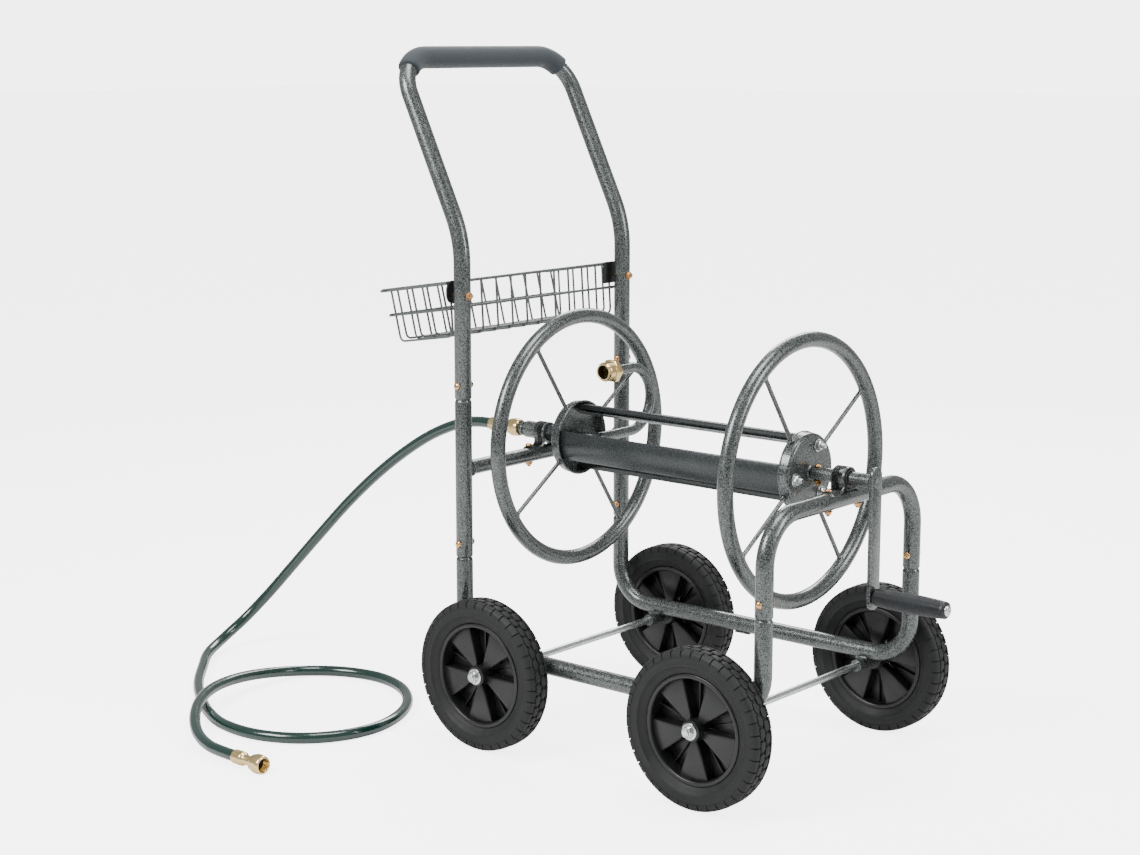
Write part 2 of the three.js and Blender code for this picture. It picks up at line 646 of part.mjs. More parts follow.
// The plain washer and the lock nut that hold a wheel on, as one piece along Y from its inner face.
function axleNutShape() {
  const hex = turned([
    [0, WASHER_THICKNESS - 0.2],
    [NUT_ACROSS_CORNERS / 2, WASHER_THICKNESS - 0.2],
    [NUT_ACROSS_CORNERS / 2, WASHER_THICKNESS + NUT_HEIGHT - 2],
    [NUT_ACROSS_CORNERS / 2 - 2.5, WASHER_THICKNESS + NUT_HEIGHT],
    [0, WASHER_THICKNESS + NUT_HEIGHT],
  ], 6);
  const washer = rod('y', WASHER_DIAMETER / 2, 0, WASHER_THICKNESS, [0, 0, 0]);
  return weld([washer, hex], [bore('y', AXLE_DIAMETER / 2 + FACE_GAP, -1, 2 * NUT_HEIGHT, [0, 0, 0])]);
}

function addWheels() {
  const hub = hubShape();
  const nut = axleNutShape();
  for (const [end, , axleX] of ENDS) {
    add(`axle_${end}`, rod('y', AXLE_DIAMETER / 2, -AXLE_END, AXLE_END, [axleX, 0, AXLE_HEIGHT]), ZINC);
    for (const [name, side] of SIDES) {
      const tyre = add(`tyre_${end}_${name}`, turned(tyreProfile(), TYRE_SIDES), RUBBER);
      const core = add(`wheel_hub_${end}_${name}`, hub, PLASTIC);
      const lock = add(`axle_nut_${end}_${name}`, nut, ZINC);
      tyre.position.set(axleX, side * WHEEL_MIDDLE, AXLE_HEIGHT);
      core.position.set(axleX, side * WHEEL_MIDDLE, AXLE_HEIGHT);
      lock.position.set(axleX, side * NUT_START, AXLE_HEIGHT);
      if (side < 0) {
        core.rotation.z = Math.PI;
        lock.rotation.z = Math.PI;
      }
    }
  }
}

// ---------------------------------------------------------------- reel
// Everything on the reel is made along X round the origin, then lifted to the reel's height.
const liftToReel = (geometry) => geometry.translate(0, 0, REEL_HEIGHT);

function ringShape(radius, sides) {
  const profile = [];
  for (let i = 0; i <= sides; i++) {
    const angle = (2 * Math.PI * i) / sides;
    profile.push([HOOP_RADIUS + radius * Math.cos(angle), radius * Math.sin(angle)]);
  }
  return ALONG.x(turned(profile, HOOP_STEPS));
}

function addHoop(name, x) {
  const shapes = [ringShape(HOOP_TUBE / 2, SMALL_SIDES)];
  const dishSide = DISH_DIAMETER / 2 + FACE_GAP;
  const rimReach = HOOP_RADIUS - HOOP_TUBE / 2 + 2;
  for (let i = 0; i < SPOKE_COUNT; i++) {
    const angle = radians(SPOKE_START + (i * 360) / SPOKE_COUNT);
    const spoke = rod('y', SPOKE_DIAMETER / 2, dishSide, rimReach, [0, 0, 0], 8);
    shapes.push(spoke.rotateX(angle));
  }
  const cuts = [ringShape(HOOP_TUBE / 2 - TUBE_WALL, BORE_SIDES)];
  // a small vent from the tube's hollow to the inside of the hoop, as welded tubes have
  const vent = rod('y', VENT_DIAMETER / 2, HOOP_RADIUS - HOOP_TUBE, HOOP_RADIUS, [0, 0, 0], 6);
  cuts.push(vent.rotateX(radians(SPOKE_START + 45)));
  const hoop = add(`reel_hoop_${name}`, weld(shapes, cuts), HAMMERTONE);
  hoop.position.set(x, 0, REEL_HEIGHT);
}

// The spokes meet the dish's rim, so the rim is round there and the spokes end just outside it.
function dishShape() {
  const radius = DISH_DIAMETER / 2;
  const inner = radius - DISH_WALL;
  return turned([
    [0, 0],
    [radius - DISH_CORNER, 0],
    [radius, DISH_CORNER],
    [radius, DISH_DEPTH],
    [inner, DISH_DEPTH],
    [inner, DISH_CORNER + 1],
    [inner - 1, DISH_WALL],
    [0, DISH_WALL],
  ], DISH_SIDES);
}

function tieAngles() {
  return Array.from({ length: PLATE_COUNT }, (unused, i) => radians(PLATE_START + (i * 360) / PLATE_COUNT));
}

function addDishes() {
  const tieHoles = tieAngles().map((angle) => {
    const at = [0, TIE_RADIUS * Math.cos(angle), TIE_RADIUS * Math.sin(angle)];
    return bore('x', TIE_DIAMETER / 2 + BOLT_HOLE_GAP, -DISH_DEPTH, DISH_DEPTH, at);
  });
  const pipeHole = bore('x', PIPE_DIAMETER / 2 + FACE_GAP, -DISH_DEPTH, DISH_DEPTH, [0, 0, 0], TUBE_SIDES);
  const rearDish = weld([ALONG.x(dishShape())], [...tieHoles, pipeHole]);
  add('reel_dish_rear', rearDish, HAMMERTONE).position.set(DISH_REAR_X, 0, REEL_HEIGHT);

  const stubShaft = rod('x', STUB_SHAFT / 2, -DISH_WALL, STUB_SHAFT_LENGTH, [0, 0, 0]);
  const mirrored = ALONG.x(dishShape()).rotateZ(Math.PI);
  const boltHole = bore('z', HOLE_RADIUS, -STUB_SHAFT, STUB_SHAFT, [CRANK_BOLT_PLACE, 0, 0]);
  const frontDish = weld([mirrored, stubShaft], [...tieHoles, boltHole]);
  add('reel_dish_front', frontDish, HAMMERTONE).position.set(DISH_FRONT_X, 0, REEL_HEIGHT);
}

// A drum plate is a shallow arc with its long edges turned in.
function plateShape() {
  const half = radians(PLATE_HALF_ANGLE);
  const inner = PLATE_RADIUS - PLATE_WALL;
  const lip = PLATE_RADIUS - PLATE_LIP;
  const corner = (radius, angle) => [radius * Math.cos(angle), radius * Math.sin(angle)];
  const wall = PLATE_WALL / PLATE_RADIUS;
  const shape = new THREE.Shape();
  shape.moveTo(...corner(lip, -half));
  shape.absarc(0, 0, PLATE_RADIUS, -half, half, false);
  shape.lineTo(...corner(lip, half));
  shape.lineTo(...corner(lip, half - wall));
  shape.absarc(0, 0, inner, half - wall, wall - half, true);
  shape.lineTo(...corner(lip, wall - half));
  shape.closePath();
  return shape;
}

function addDrum() {
  const inside = DISH_WALL + FACE_GAP;
  const length = DISH_FRONT_X - DISH_REAR_X - 2 * inside;
  const head = TIE_HEAD / 2;
  const shank = TIE_DIAMETER / 2;
  const grip = DISH_FRONT_X - DISH_REAR_X;
  const tie = turned([
    [0, -FACE_GAP - TIE_HEAD_HEIGHT],
    [head * 0.8, -FACE_GAP - TIE_HEAD_HEIGHT],
    [head, -FACE_GAP - TIE_HEAD_HEIGHT + 2],
    [head, -FACE_GAP],
    [shank, -FACE_GAP],
    [shank, grip + FACE_GAP],
    [head, grip + FACE_GAP],
    [head, grip + FACE_GAP + TIE_HEAD_HEIGHT],
    [shank, grip + FACE_GAP + TIE_HEAD_HEIGHT],
    [shank, grip + FACE_GAP + TIE_HEAD_HEIGHT + TIE_THREAD_SHOWING],
    [0, grip + FACE_GAP + TIE_HEAD_HEIGHT + TIE_THREAD_SHOWING],
  ], 6);
  tieAngles().forEach((angle, i) => {
    const settings = { depth: length, bevelEnabled: false, curveSegments: 6 };
    const plate = new THREE.ExtrudeGeometry(plateShape(), settings);
    plate.applyMatrix4(acrossCart);
    plate.rotateX(angle).translate(DISH_REAR_X + inside, 0, 0);
    add(`drum_plate_${i + 1}`, liftToReel(plate), SMOOTH_PAINT);
    const rodShape = ALONG.x(tie.clone());
    const y = TIE_RADIUS * Math.cos(angle);
    const z = TIE_RADIUS * Math.sin(angle);
    add(`tie_rod_${i + 1}`, liftToReel(rodShape.translate(DISH_REAR_X, y, z)), ZINC);
  });
}

function addWaterWay() {
  const stemEnd = STEM_HEX_START + STEM_HEX_LENGTH;
  const journal = JOURNAL_DIAMETER / 2;
  const journalRoom = bore('x', journal + RUNNING_GAP, SWIVEL_END - JOURNAL_LENGTH, SWIVEL_END + 1,
    [REAR_X, 0, REEL_HEIGHT], TUBE_SIDES);
  const body = weld([
    rod('x', SWIVEL_NECK / 2, SWIVEL_NECK_START, SWIVEL_STEP + 1, [REAR_X, 0, REEL_HEIGHT]),
    rod('x', SWIVEL_BODY / 2, SWIVEL_STEP, SWIVEL_END, [REAR_X, 0, REEL_HEIGHT]),
  ], [
    journalRoom,
    bore('x', PIPE_BORE / 2, SWIVEL_NECK_START - 1, SWIVEL_END, [REAR_X, 0, REEL_HEIGHT]),
  ]);
  add('swivel_body', body, HAMMERTONE);

  const journalStart = SWIVEL_END - JOURNAL_LENGTH + RUNNING_GAP;
  const stem = weld([
    rod('x', journal, journalStart, STEM_HEX_START + 1, [REAR_X, 0, REEL_HEIGHT]),
    rod('x', STEM_HEX / 2, STEM_HEX_START, stemEnd, [REAR_X, 0, REEL_HEIGHT], 6),
  ], [bore('x', PIPE_BORE / 2, journalStart - 1, stemEnd + 1, [REAR_X, 0, REEL_HEIGHT])]);
  add('swivel_stem', stem, SMOOTH_PAINT);

  const corners = (inset) => [
    vector(REAR_X + stemEnd + FACE_GAP - inset, 0, REEL_HEIGHT),
    vector(PIPE_X, 0, REEL_HEIGHT),
    vector(PIPE_X, PIPE_REACH, REEL_HEIGHT),
    vector(PIPE_X, PIPE_REACH, REEL_HEIGHT + PIPE_RISE),
    vector(PIPE_X, OUTLET_PLACE - inset, REEL_HEIGHT + PIPE_RISE),
  ];
  const bends = [PIPE_ELBOW, PIPE_RISE / 2, PIPE_RISE / 2];
  const outside = sweep(new BentPath(corners(0), bends), PIPE_DIAMETER / 2, SMALL_SIDES);
  const inside = sweep(new BentPath(corners(1), bends), PIPE_BORE / 2, BORE_SIDES);
  add('gooseneck_pipe', weld([outside], [inside]), PIPE_PAINT);

  const hexEnd = OUTLET_PLACE - FACE_GAP;
  const hexStart = hexEnd - OUTLET_HEX_HEIGHT;
  const place = [PIPE_X, 0, REEL_HEIGHT + PIPE_RISE];
  const threadEnd = hexStart - OUTLET_THREAD_LENGTH;
  const fitting = weld([
    rod('y', OUTLET_HEX / 2, hexStart, hexEnd, place, 6),
    rod('y', OUTLET_THREAD / 2, threadEnd, hexStart + 1, place),
  ], [
    bore('y', OUTLET_BORE / 2, threadEnd - 1, hexEnd - 4, place),
    bore('y', PIPE_BORE / 2, threadEnd, hexEnd + 1, place),
  ]);
  add('outlet_fitting', fitting, BRASS);
}

// ---------------------------------------------------------------- bearings
// An omega strap in the plane across the cart: round a held piece and out to two feet.
function strapShape(heldRadius, footHeight) {
  const inner = heldRadius + FACE_GAP;
  const outer = inner + STRAP_THICKNESS;
  const wrap = radians(STRAP_WRAP);
  const foot = footHeight - REEL_HEIGHT;
  const shape = new THREE.Shape();
  shape.moveTo(STRAP_FOOT_REACH, foot);
  shape.lineTo(STRAP_FOOT_REACH, foot + STRAP_THICKNESS);
  shape.lineTo(outer * Math.cos(wrap), foot + STRAP_THICKNESS);
  shape.absarc(0, 0, outer, -wrap, Math.PI + wrap, false);
  shape.lineTo(-outer * Math.cos(wrap), foot + STRAP_THICKNESS);
  shape.lineTo(-STRAP_FOOT_REACH, foot + STRAP_THICKNESS);
  shape.lineTo(-STRAP_FOOT_REACH, foot);
  shape.lineTo(-inner * Math.cos(wrap), foot);
  shape.absarc(0, 0, inner, Math.PI + wrap, -wrap, true);
  shape.lineTo(inner * Math.cos(wrap), foot);
  shape.closePath();
  return shape;
}

function addStrap(name, x, heldRadius, footHeight) {
  const settings = { depth: STRAP_WIDTH, bevelEnabled: false, curveSegments: 10 };
  const strap = new THREE.ExtrudeGeometry(strapShape(heldRadius, footHeight), settings);
  strap.applyMatrix4(acrossCart).translate(x - STRAP_WIDTH / 2, 0, REEL_HEIGHT);
  const holes = SIDES.map(([, side]) => {
    const place = [x, side * STRAP_BOLT_REACH, footHeight];
    return bore('z', HOLE_RADIUS, -STRAP_THICKNESS, 2 * STRAP_THICKNESS, place);
  });
  add(`bearing_strap_${name}`, weld([strap], holes), HAMMERTONE);
}

function addBearings() {
  const rearFoot = CROSS_HEIGHT + CROSS_TUBE / 2 + FACE_GAP;
  const frontFoot = ARCH_HEIGHT + FRAME_TUBE / 2 + FACE_GAP;
  addStrap('rear', REAR_X + REAR_STRAP_PLACE, SWIVEL_BODY / 2, rearFoot);
  addStrap('front', FRONT_X, BUSH_DIAMETER / 2, frontFoot);
  const from = -BUSH_LENGTH / 2;
  const middle = [FRONT_X, 0, REEL_HEIGHT];
  const sleeve = rod('x', BUSH_DIAMETER / 2, from, -from, middle);
  const footSize = BUSH_DIAMETER / 2 * Math.cos(radians(STRAP_WRAP)) - 1;
  const legHeight = REEL_HEIGHT - frontFoot;
  const leg = new THREE.BoxGeometry(BUSH_LENGTH, 2 * footSize, legHeight);
  leg.translate(FRONT_X, 0, frontFoot + legHeight / 2);
  const room = bore('x', SHAFT_DIAMETER / 2 + RUNNING_GAP, from - 1, 1 - from, middle, TUBE_SIDES);
  add('front_bush', weld([sleeve, leg], [room]), PLASTIC);
}

// ---------------------------------------------------------------- crank
function addCrank() {
  const at = [0, 0, REEL_HEIGHT];
  const armShape = new THREE.Shape();
  const half = ARM_WIDTH / 2;
  const low = -CRANK_THROW - ARM_BOTTOM + half;
  const high = ARM_TOP - half;
  armShape.absarc(0, low, half, Math.PI, 2 * Math.PI, false);
  armShape.absarc(0, high, half, 0, Math.PI, false);
  armShape.closePath();
  const settings = { depth: ARM_THICKNESS, bevelEnabled: false, curveSegments: 5 };
  const arm = new THREE.ExtrudeGeometry(armShape, settings);
  arm.applyMatrix4(acrossCart).translate(ARM_X, 0, REEL_HEIGHT);
  const pinEnd = GRIP_X + GRIP_LENGTH;
  const crank = weld([
    rod('x', SHAFT_DIAMETER / 2, SHAFT_START_X, ARM_X + 1, at),
    arm,
    rod('x', GRIP_PIN / 2, ARM_X + 1, pinEnd, [0, 0, GRIP_HEIGHT]),
  ], [
    bore('x', STUB_SHAFT / 2 + SLIDE_GAP, SHAFT_START_X - 1, ARM_X - 2, at, TUBE_SIDES),
    bore('z', HOLE_RADIUS, -SHAFT_DIAMETER, SHAFT_DIAMETER, [CRANK_BOLT_X, 0, REEL_HEIGHT]),
  ]);
  add('crank_handle', crank, HAMMERTONE);

  const gripRadius = GRIP_DIAMETER / 2;
  const hole = roundFlats(GRIP_PIN / 2 + RUNNING_GAP, TUBE_SIDES);
  const grip = turned([
    [hole, 0], [gripRadius - 3, 0], [gripRadius - 1, 6], [gripRadius, GRIP_LENGTH * 0.45],
    [gripRadius - 1, GRIP_LENGTH - 6], [gripRadius - 2, GRIP_LENGTH], [hole, GRIP_LENGTH], [hole, 0],
  ], TUBE_SIDES);
  add('crank_grip', ALONG.x(grip), PLASTIC).position.set(GRIP_X, 0, GRIP_HEIGHT);
  const screwStart = pinEnd + FACE_GAP;
  const screw = rod('x', GRIP_SCREW / 2, 0, GRIP_SCREW_HEIGHT, [screwStart, 0, GRIP_HEIGHT]);
  add('grip_end_screw', screw, ZINC);
}

// ---------------------------------------------------------------- basket
const BRACKET_GAP = BASKET_SETBACK - FRAME_TUBE / 2 - BRACKET.thickness; // from the post to the bracket

// A box that narrows towards its floor, hung by the middle of its front rim.
function taperedBox(width, depth, height, taper, lift) {
  const box = new THREE.BoxGeometry(depth, width, height).translate(-depth / 2, 0, -height / 2 + lift);
  const place = box.attributes.position;
  for (let i = 0; i < place.count; i++) {
    if (place.getZ(i) > lift - height / 2) continue;
    place.setX(i, place.getX(i) + (place.getX(i) > -depth / 2 ? -taper : taper));
    place.setY(i, place.getY(i) - Math.sign(place.getY(i)) * taper);
  }
  return box;
}

function addBasket() {
  const wall = BASKET_WALL;
  const outside = taperedBox(BASKET_WIDTH, BASKET_DEPTH, BASKET_HEIGHT, BASKET_TAPER, 0);
  const [width, depth] = [BASKET_WIDTH - 2 * wall, BASKET_DEPTH - 2 * wall];
  const inside = taperedBox(width, depth, BASKET_HEIGHT, BASKET_TAPER, wall);
  inside.translate(-wall, 0, 0);
  const hang = (geometry) => geometry.rotateY(-TILT).translate(REAR_X - BASKET_SETBACK, 0, BASKET_RIM_HEIGHT);
  const shapes = [hang(outside)];
  const cuts = [hang(inside)];
  const backX = REAR_X - BASKET_SETBACK;
  for (const [, side] of SIDES) {
    const plate = new THREE.BoxGeometry(BRACKET.thickness, BRACKET.width, BRACKET.height);
    const y = side * (BASKET_WIDTH / 2 - BRACKET.width / 2 + BRACKET_OVERHANG);
    plate.translate(backX + BRACKET.thickness / 2, y, BASKET_RIM_HEIGHT - BRACKET.height / 2);
    // the front wall leans away below the rim, so a web joins it to the bracket
    const web = new THREE.BoxGeometry(BRACKET.thickness + wall, BRACKET.thickness, BRACKET.height / 2);
    const webY = side * (BASKET_WIDTH / 2 - BRACKET_WEB_PLACE);
    web.translate(backX - wall / 2, webY, BASKET_RIM_HEIGHT - BRACKET.height / 4);
    shapes.push(plate, web);
    const holePlace = [backX, side * HALF_WIDTH, BASKET_BOLT_HEIGHT];
    cuts.push(bore('x', HOLE_RADIUS, -1, BRACKET.thickness + 1, holePlace));
    // room for the bolt's head in the front wall
    const headRoom = BOLT_HEAD_HEIGHT + 3 * FACE_GAP;
    cuts.push(bore('x', BOLT_HEAD / 2 + RUNNING_GAP, -headRoom - wall, 0, holePlace));
  }
  add('wire_basket', weld(shapes, cuts), WIRE);
}

// ---------------------------------------------------------------- hose
// A ferrule with its tail, made along Y from the hose's end, and the coupling nut that turns on the tail.
function ferruleShape() {
  const tail = TAIL_DIAMETER / 2;
  const seat = FERRULE_LENGTH + TAIL_LENGTH;
  const hole = roundFlats(HOSE_BORE / 2 - 1, TUBE_SIDES);
  return turned([
    [hole, 0],
    [FERRULE_DIAMETER / 2 - 1, 0],
    [FERRULE_DIAMETER / 2, 1.5],
    [FERRULE_DIAMETER / 2, FERRULE_LENGTH],
    [tail, FERRULE_LENGTH],
    [tail, seat - 2],
    [tail + 1.5, seat - 2],
    [tail + 1.5, seat],
    [hole, seat],
    [hole, 0],
  ], TUBE_SIDES);
}

const COUPLING_START = FERRULE_LENGTH + TAIL_LENGTH - 2 - COUPLING_COLLAR - FACE_GAP;

function couplingShape() {
  const outside = COUPLING_DIAMETER / 2;
  const collar = roundFlats(TAIL_DIAMETER / 2 + FACE_GAP, TUBE_SIDES);
  const socket = roundFlats(SWIVEL_NECK / 2 + FACE_GAP, TUBE_SIDES);
  return turned([
    [collar, COUPLING_START],
    [outside - 2, COUPLING_START],
    [outside, COUPLING_START + 2],
    [outside, COUPLING_START + COUPLING_LENGTH - 2],
    [outside - 1, COUPLING_START + COUPLING_LENGTH],
    [socket, COUPLING_START + COUPLING_LENGTH],
    [socket, COUPLING_START + COUPLING_COLLAR],
    [collar, COUPLING_START + COUPLING_COLLAR],
    [collar, COUPLING_START],
  ], TUBE_SIDES);
}

function addHose() {
  const seat = FERRULE_LENGTH + TAIL_LENGTH;
  const inletStart = REAR_X + SWIVEL_NECK_START - FACE_GAP - seat;
  const inlet = vector(inletStart, 0, REEL_HEIGHT);
  for (const [name, shape] of [['inlet_ferrule', ferruleShape()], ['inlet_coupling_nut', couplingShape()]]) {
    add(name, ALONG.x(shape), BRASS).position.copy(inlet);
  }
  const points = HOSE_ROUTE.map((point) => vector(...point));
  const route = new THREE.CatmullRomCurve3(points, false, 'centripetal');
  const direction = route.getTangentAt(1);
  const shape = discShape(HOSE_DIAMETER / 2, SMALL_SIDES);
  add('garden_hose', new THREE.ExtrudeGeometry(shape, { steps: HOSE_STEPS, extrudePath: route }), HOSE_VINYL);

  const end = points[points.length - 1].clone().addScaledVector(direction, FACE_GAP);
  const turn = new THREE.Quaternion().setFromUnitVectors(vector(0, 1, 0), direction);
  const socket = SWIVEL_NECK / 2;
  const hole = roundFlats(HOSE_BORE / 2 - 1, TUBE_SIDES);
  const seal = turned([
    [hole, seat + FACE_GAP],
    [socket - FACE_GAP, seat + FACE_GAP],
    [socket - FACE_GAP, seat + FACE_GAP + SEAL_THICKNESS],
    [hole, seat + FACE_GAP + SEAL_THICKNESS],
    [hole, seat + FACE_GAP],
  ], TUBE_SIDES);
  const pieces = [
    ['end_ferrule', ferruleShape(), BRASS],
    ['end_coupling_nut', couplingShape(), BRASS],
    ['end_seal', seal, RUBBER],
  ];
  for (const [name, geometry, material] of pieces) {
    const piece = add(name, geometry, material);
    piece.position.copy(end);
    piece.quaternion.copy(turn);
  }
}

addHandle();
addRearFrame();
for (const [name, side] of SIDES) addSideFrame(name, side);
addArch();
addWheels();
addHoop('rear', HOOP_REAR_X);
addHoop('front', HOOP_FRONT_X);
addDishes();
addDrum();
addWaterWay();
addBearings();
addCrank();
addBasket();
addBolts();
addHose();

export default group;
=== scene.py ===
import json
import math

import bmesh
import bpy
from mathutils import Matrix, Vector


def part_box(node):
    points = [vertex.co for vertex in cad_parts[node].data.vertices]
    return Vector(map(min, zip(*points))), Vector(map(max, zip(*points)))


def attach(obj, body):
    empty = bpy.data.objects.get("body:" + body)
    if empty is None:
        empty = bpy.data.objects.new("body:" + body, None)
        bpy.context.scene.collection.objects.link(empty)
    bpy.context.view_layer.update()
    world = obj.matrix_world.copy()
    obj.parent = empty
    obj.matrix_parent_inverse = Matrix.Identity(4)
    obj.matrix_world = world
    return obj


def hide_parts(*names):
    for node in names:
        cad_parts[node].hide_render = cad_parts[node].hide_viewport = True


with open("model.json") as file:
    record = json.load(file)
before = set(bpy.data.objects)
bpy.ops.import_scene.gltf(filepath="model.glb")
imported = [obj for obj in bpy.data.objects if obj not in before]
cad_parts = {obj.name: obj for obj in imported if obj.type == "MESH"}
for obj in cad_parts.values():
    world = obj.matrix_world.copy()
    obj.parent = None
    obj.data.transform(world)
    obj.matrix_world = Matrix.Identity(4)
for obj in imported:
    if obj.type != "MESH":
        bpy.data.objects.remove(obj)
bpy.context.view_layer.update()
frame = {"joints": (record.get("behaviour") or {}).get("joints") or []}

# Garden hose reel cart, in metres: +Z up, +X from the push handle to the crank, ground at z = 0.

# ---------------------------------------------------------------- sizes
TUBE = 0.014  # radius of the frame's tubes
CROSS_TUBE = 0.0125
BOLT_ABOVE_JOINT = 0.022
SIDE_BEND = 0.065
ARCH_BEND = 0.075
HANDLE_BEND_HEIGHT = 0.827
RAKE_BEND = 0.18
HANDLE_CORNER = 0.065
FOAM = 0.0185
SLEEVE = 0.010
SLEEVE_LENGTH = 0.048

TYRE = 0.125
AXLE = 0.006
TREAD_PITCHES = 40
BLADES = 5

HOOP = 0.206
HOOP_TUBE = 0.0125
SPOKE = 0.0035
SPOKES = 4
SPOKE_START = math.radians(34)
DISH = 0.063
DISH_DEPTH = 0.020
DISH_WALL = 0.0025
PLATE = 0.057
PLATE_HALF_ANGLE = math.radians(26)
PLATE_LIP = 0.008

PIPE = 0.00875
PIPE_ELBOW = 0.028
PIPE_REACH = 0.155
SHAFT = 0.011
STRAP = 0.0025
STRAP_WIDTH = 0.024
HOSE = 0.0095

BASKET_WIDTH = 0.426
BASKET_DEPTH = 0.152
BASKET_HEIGHT = 0.094
BASKET_TAPER = 0.009
BASKET_TILT = math.radians(9)
BASKET_SETBACK = 0.023
WIRE = 0.0019
RAIL = 0.0025

# The supply hose's route from the inlet ferrule to the end ferrule.
HOSE_ROUTE = [
    (-0.4392, 0, 0.482), (-0.458, 0, 0.482), (-0.494, -0.001, 0.478), (-0.537, -0.002, 0.465),
    (-0.586, -0.004, 0.443), (-0.642, -0.008, 0.409), (-0.706, -0.014, 0.362), (-0.776, -0.022, 0.301),
    (-0.846, -0.034, 0.229), (-0.907, -0.048, 0.162), (-0.956, -0.070, 0.101), (-0.986, -0.103, 0.055),
    (-0.992, -0.151, 0.026), (-0.969, -0.210, 0.013), (-0.912, -0.273, 0.010), (-0.838, -0.345, 0.010),
    (-0.762, -0.402, 0.010), (-0.690, -0.445, 0.010), (-0.620, -0.471, 0.010), (-0.540, -0.471, 0.010),
    (-0.470, -0.437, 0.010), (-0.428, -0.380, 0.010), (-0.416, -0.312, 0.010), (-0.436, -0.240, 0.010),
    (-0.480, -0.176, 0.010), (-0.545, -0.128, 0.010), (-0.620, -0.110, 0.010), (-0.695, -0.128, 0.010),
    (-0.748, -0.176, 0.012), (-0.766, -0.250, 0.021), (-0.760, -0.324, 0.029), (-0.738, -0.394, 0.033),
    (-0.701, -0.456, 0.0315), (-0.650, -0.510, 0.026), (-0.595, -0.549, 0.019), (-0.540, -0.571, 0.016),
    (-0.490, -0.577, 0.0158), (-0.470, -0.5775, 0.0158),
]

# How bright the white backdrop, the light round the object and the pale floor are.
BACKDROP = 5.0
AMBIENT = 0.45
FLOOR_GLOW = 4.2

# The ends of the tubes: how far past the end each ring is, and its share of the tube's radius.
OPEN_END = ((0.0, 0.88), (-0.0004, 0.955), (-0.0018, 1.0))
SWAGED_END = ((0.020, 0.855), (-0.0014, 0.86), (-0.0030, 0.93), (-0.0048, 0.98), (-0.0068, 1.0))
PLAIN_END = ((0.0, 1.0),)
ROUNDED_END = ((0.0, 0.75), (-0.0005, 0.93), (-0.0016, 1.0))


# ---------------------------------------------------------------- places that the frame gives
def middle(node):
    low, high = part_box(node)
    return (low + high) / 2


JOINTS = {joint["name"]: joint for joint in frame["joints"]}
REAR_X = middle("rear_frame").x
FRONT_X = middle("front_arch").x
HALF_WIDTH = middle("basket_bolt_far").y
LOWER_JOINT = middle("frame_bolt_rear_near").z - BOLT_ABOVE_JOINT
UPPER_JOINT = middle("frame_bolt_upper_near").z - BOLT_ABOVE_JOINT
HANDLE_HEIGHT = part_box("handle_tube")[1].z - TUBE
HANDLE_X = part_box("handle_tube")[0].x + TUBE
ARCH_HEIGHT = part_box("bearing_strap_front")[0].z - TUBE - 0.0003
AXLE_HEIGHT = middle("axle_rear").z
SIDE_HEIGHT = AXLE_HEIGHT + SLEEVE + TUBE - 0.002
REEL = JOINTS["reel_spin"]["pos_m"][2]
GRIP = JOINTS["crank_grip_spin"]["pos_m"][2]
DISH_REAR_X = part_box("reel_dish_rear")[0].x
DISH_FRONT_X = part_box("reel_dish_front")[0].x + DISH_DEPTH
PIPE_X = middle("outlet_fitting").x
OUTLET_HEIGHT = middle("outlet_fitting").z
ARM_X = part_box("crank_grip")[0].x - 0.007
WHEELS = [(end, side, sign) for end in ("rear", "front") for side, sign in (("near", -1), ("far", 1))]
SIDES = (("near", -1), ("far", 1))
X = Vector((1, 0, 0))
Y = Vector((0, 1, 0))
Z = Vector((0, 0, 1))


# ---------------------------------------------------------------- shader effects
def new_group(name, inputs, outputs):
    """A node group with named sockets, and its input and output nodes."""
    tree = bpy.data.node_groups.new(name, "ShaderNodeTree")
    for socket, kind, value in inputs:
        made = tree.interface.new_socket(name=socket, in_out="INPUT", socket_type=kind)
        made.default_value = value
    for socket, kind in outputs:
        tree.interface.new_socket(name=socket, in_out="OUTPUT", socket_type=kind)
    return tree, tree.nodes.new("NodeGroupInput"), tree.nodes.new("NodeGroupOutput")


def node(tree, kind, links=None, **settings):
    """A node with its settings made and its inputs linked or set."""
    made = tree.nodes.new(kind)
    for key, value in settings.items():
        setattr(made, key, value)
    for socket, value in (links or {}).items():
        if isinstance(value, bpy.types.NodeSocket):
            tree.links.new(value, made.inputs[socket])
        else:
            made.inputs[socket].default_value = value
    return made


def math_node(tree, operation, first, second):
    return node(tree, "ShaderNodeMath", {0: first, 1: second}, operation=operation).outputs[0]


def ramp(tree, factor, low, high):
    """Stretches the values between low and high to the whole range, with soft ends."""
    links = {"Value": factor, "From Min": low, "From Max": high}
    made = node(tree, "ShaderNodeMapRange", links, interpolation_type="SMOOTHSTEP")
    return made.outputs["Result"]


def blend_colours(tree, factor, first, second, mode="MIX"):
    made = node(tree, "ShaderNodeMix", data_type="RGBA", blend_type=mode)
    for socket, value in ((made.inputs[0], factor), (made.inputs[6], first), (made.inputs[7], second)):
        if isinstance(value, bpy.types.NodeSocket):
            tree.links.new(value, socket)
        else:
            socket.default_value = value
    return made.outputs[2]


def object_places(tree):
    return tree.nodes.new("ShaderNodeTexCoord").outputs["Object"]


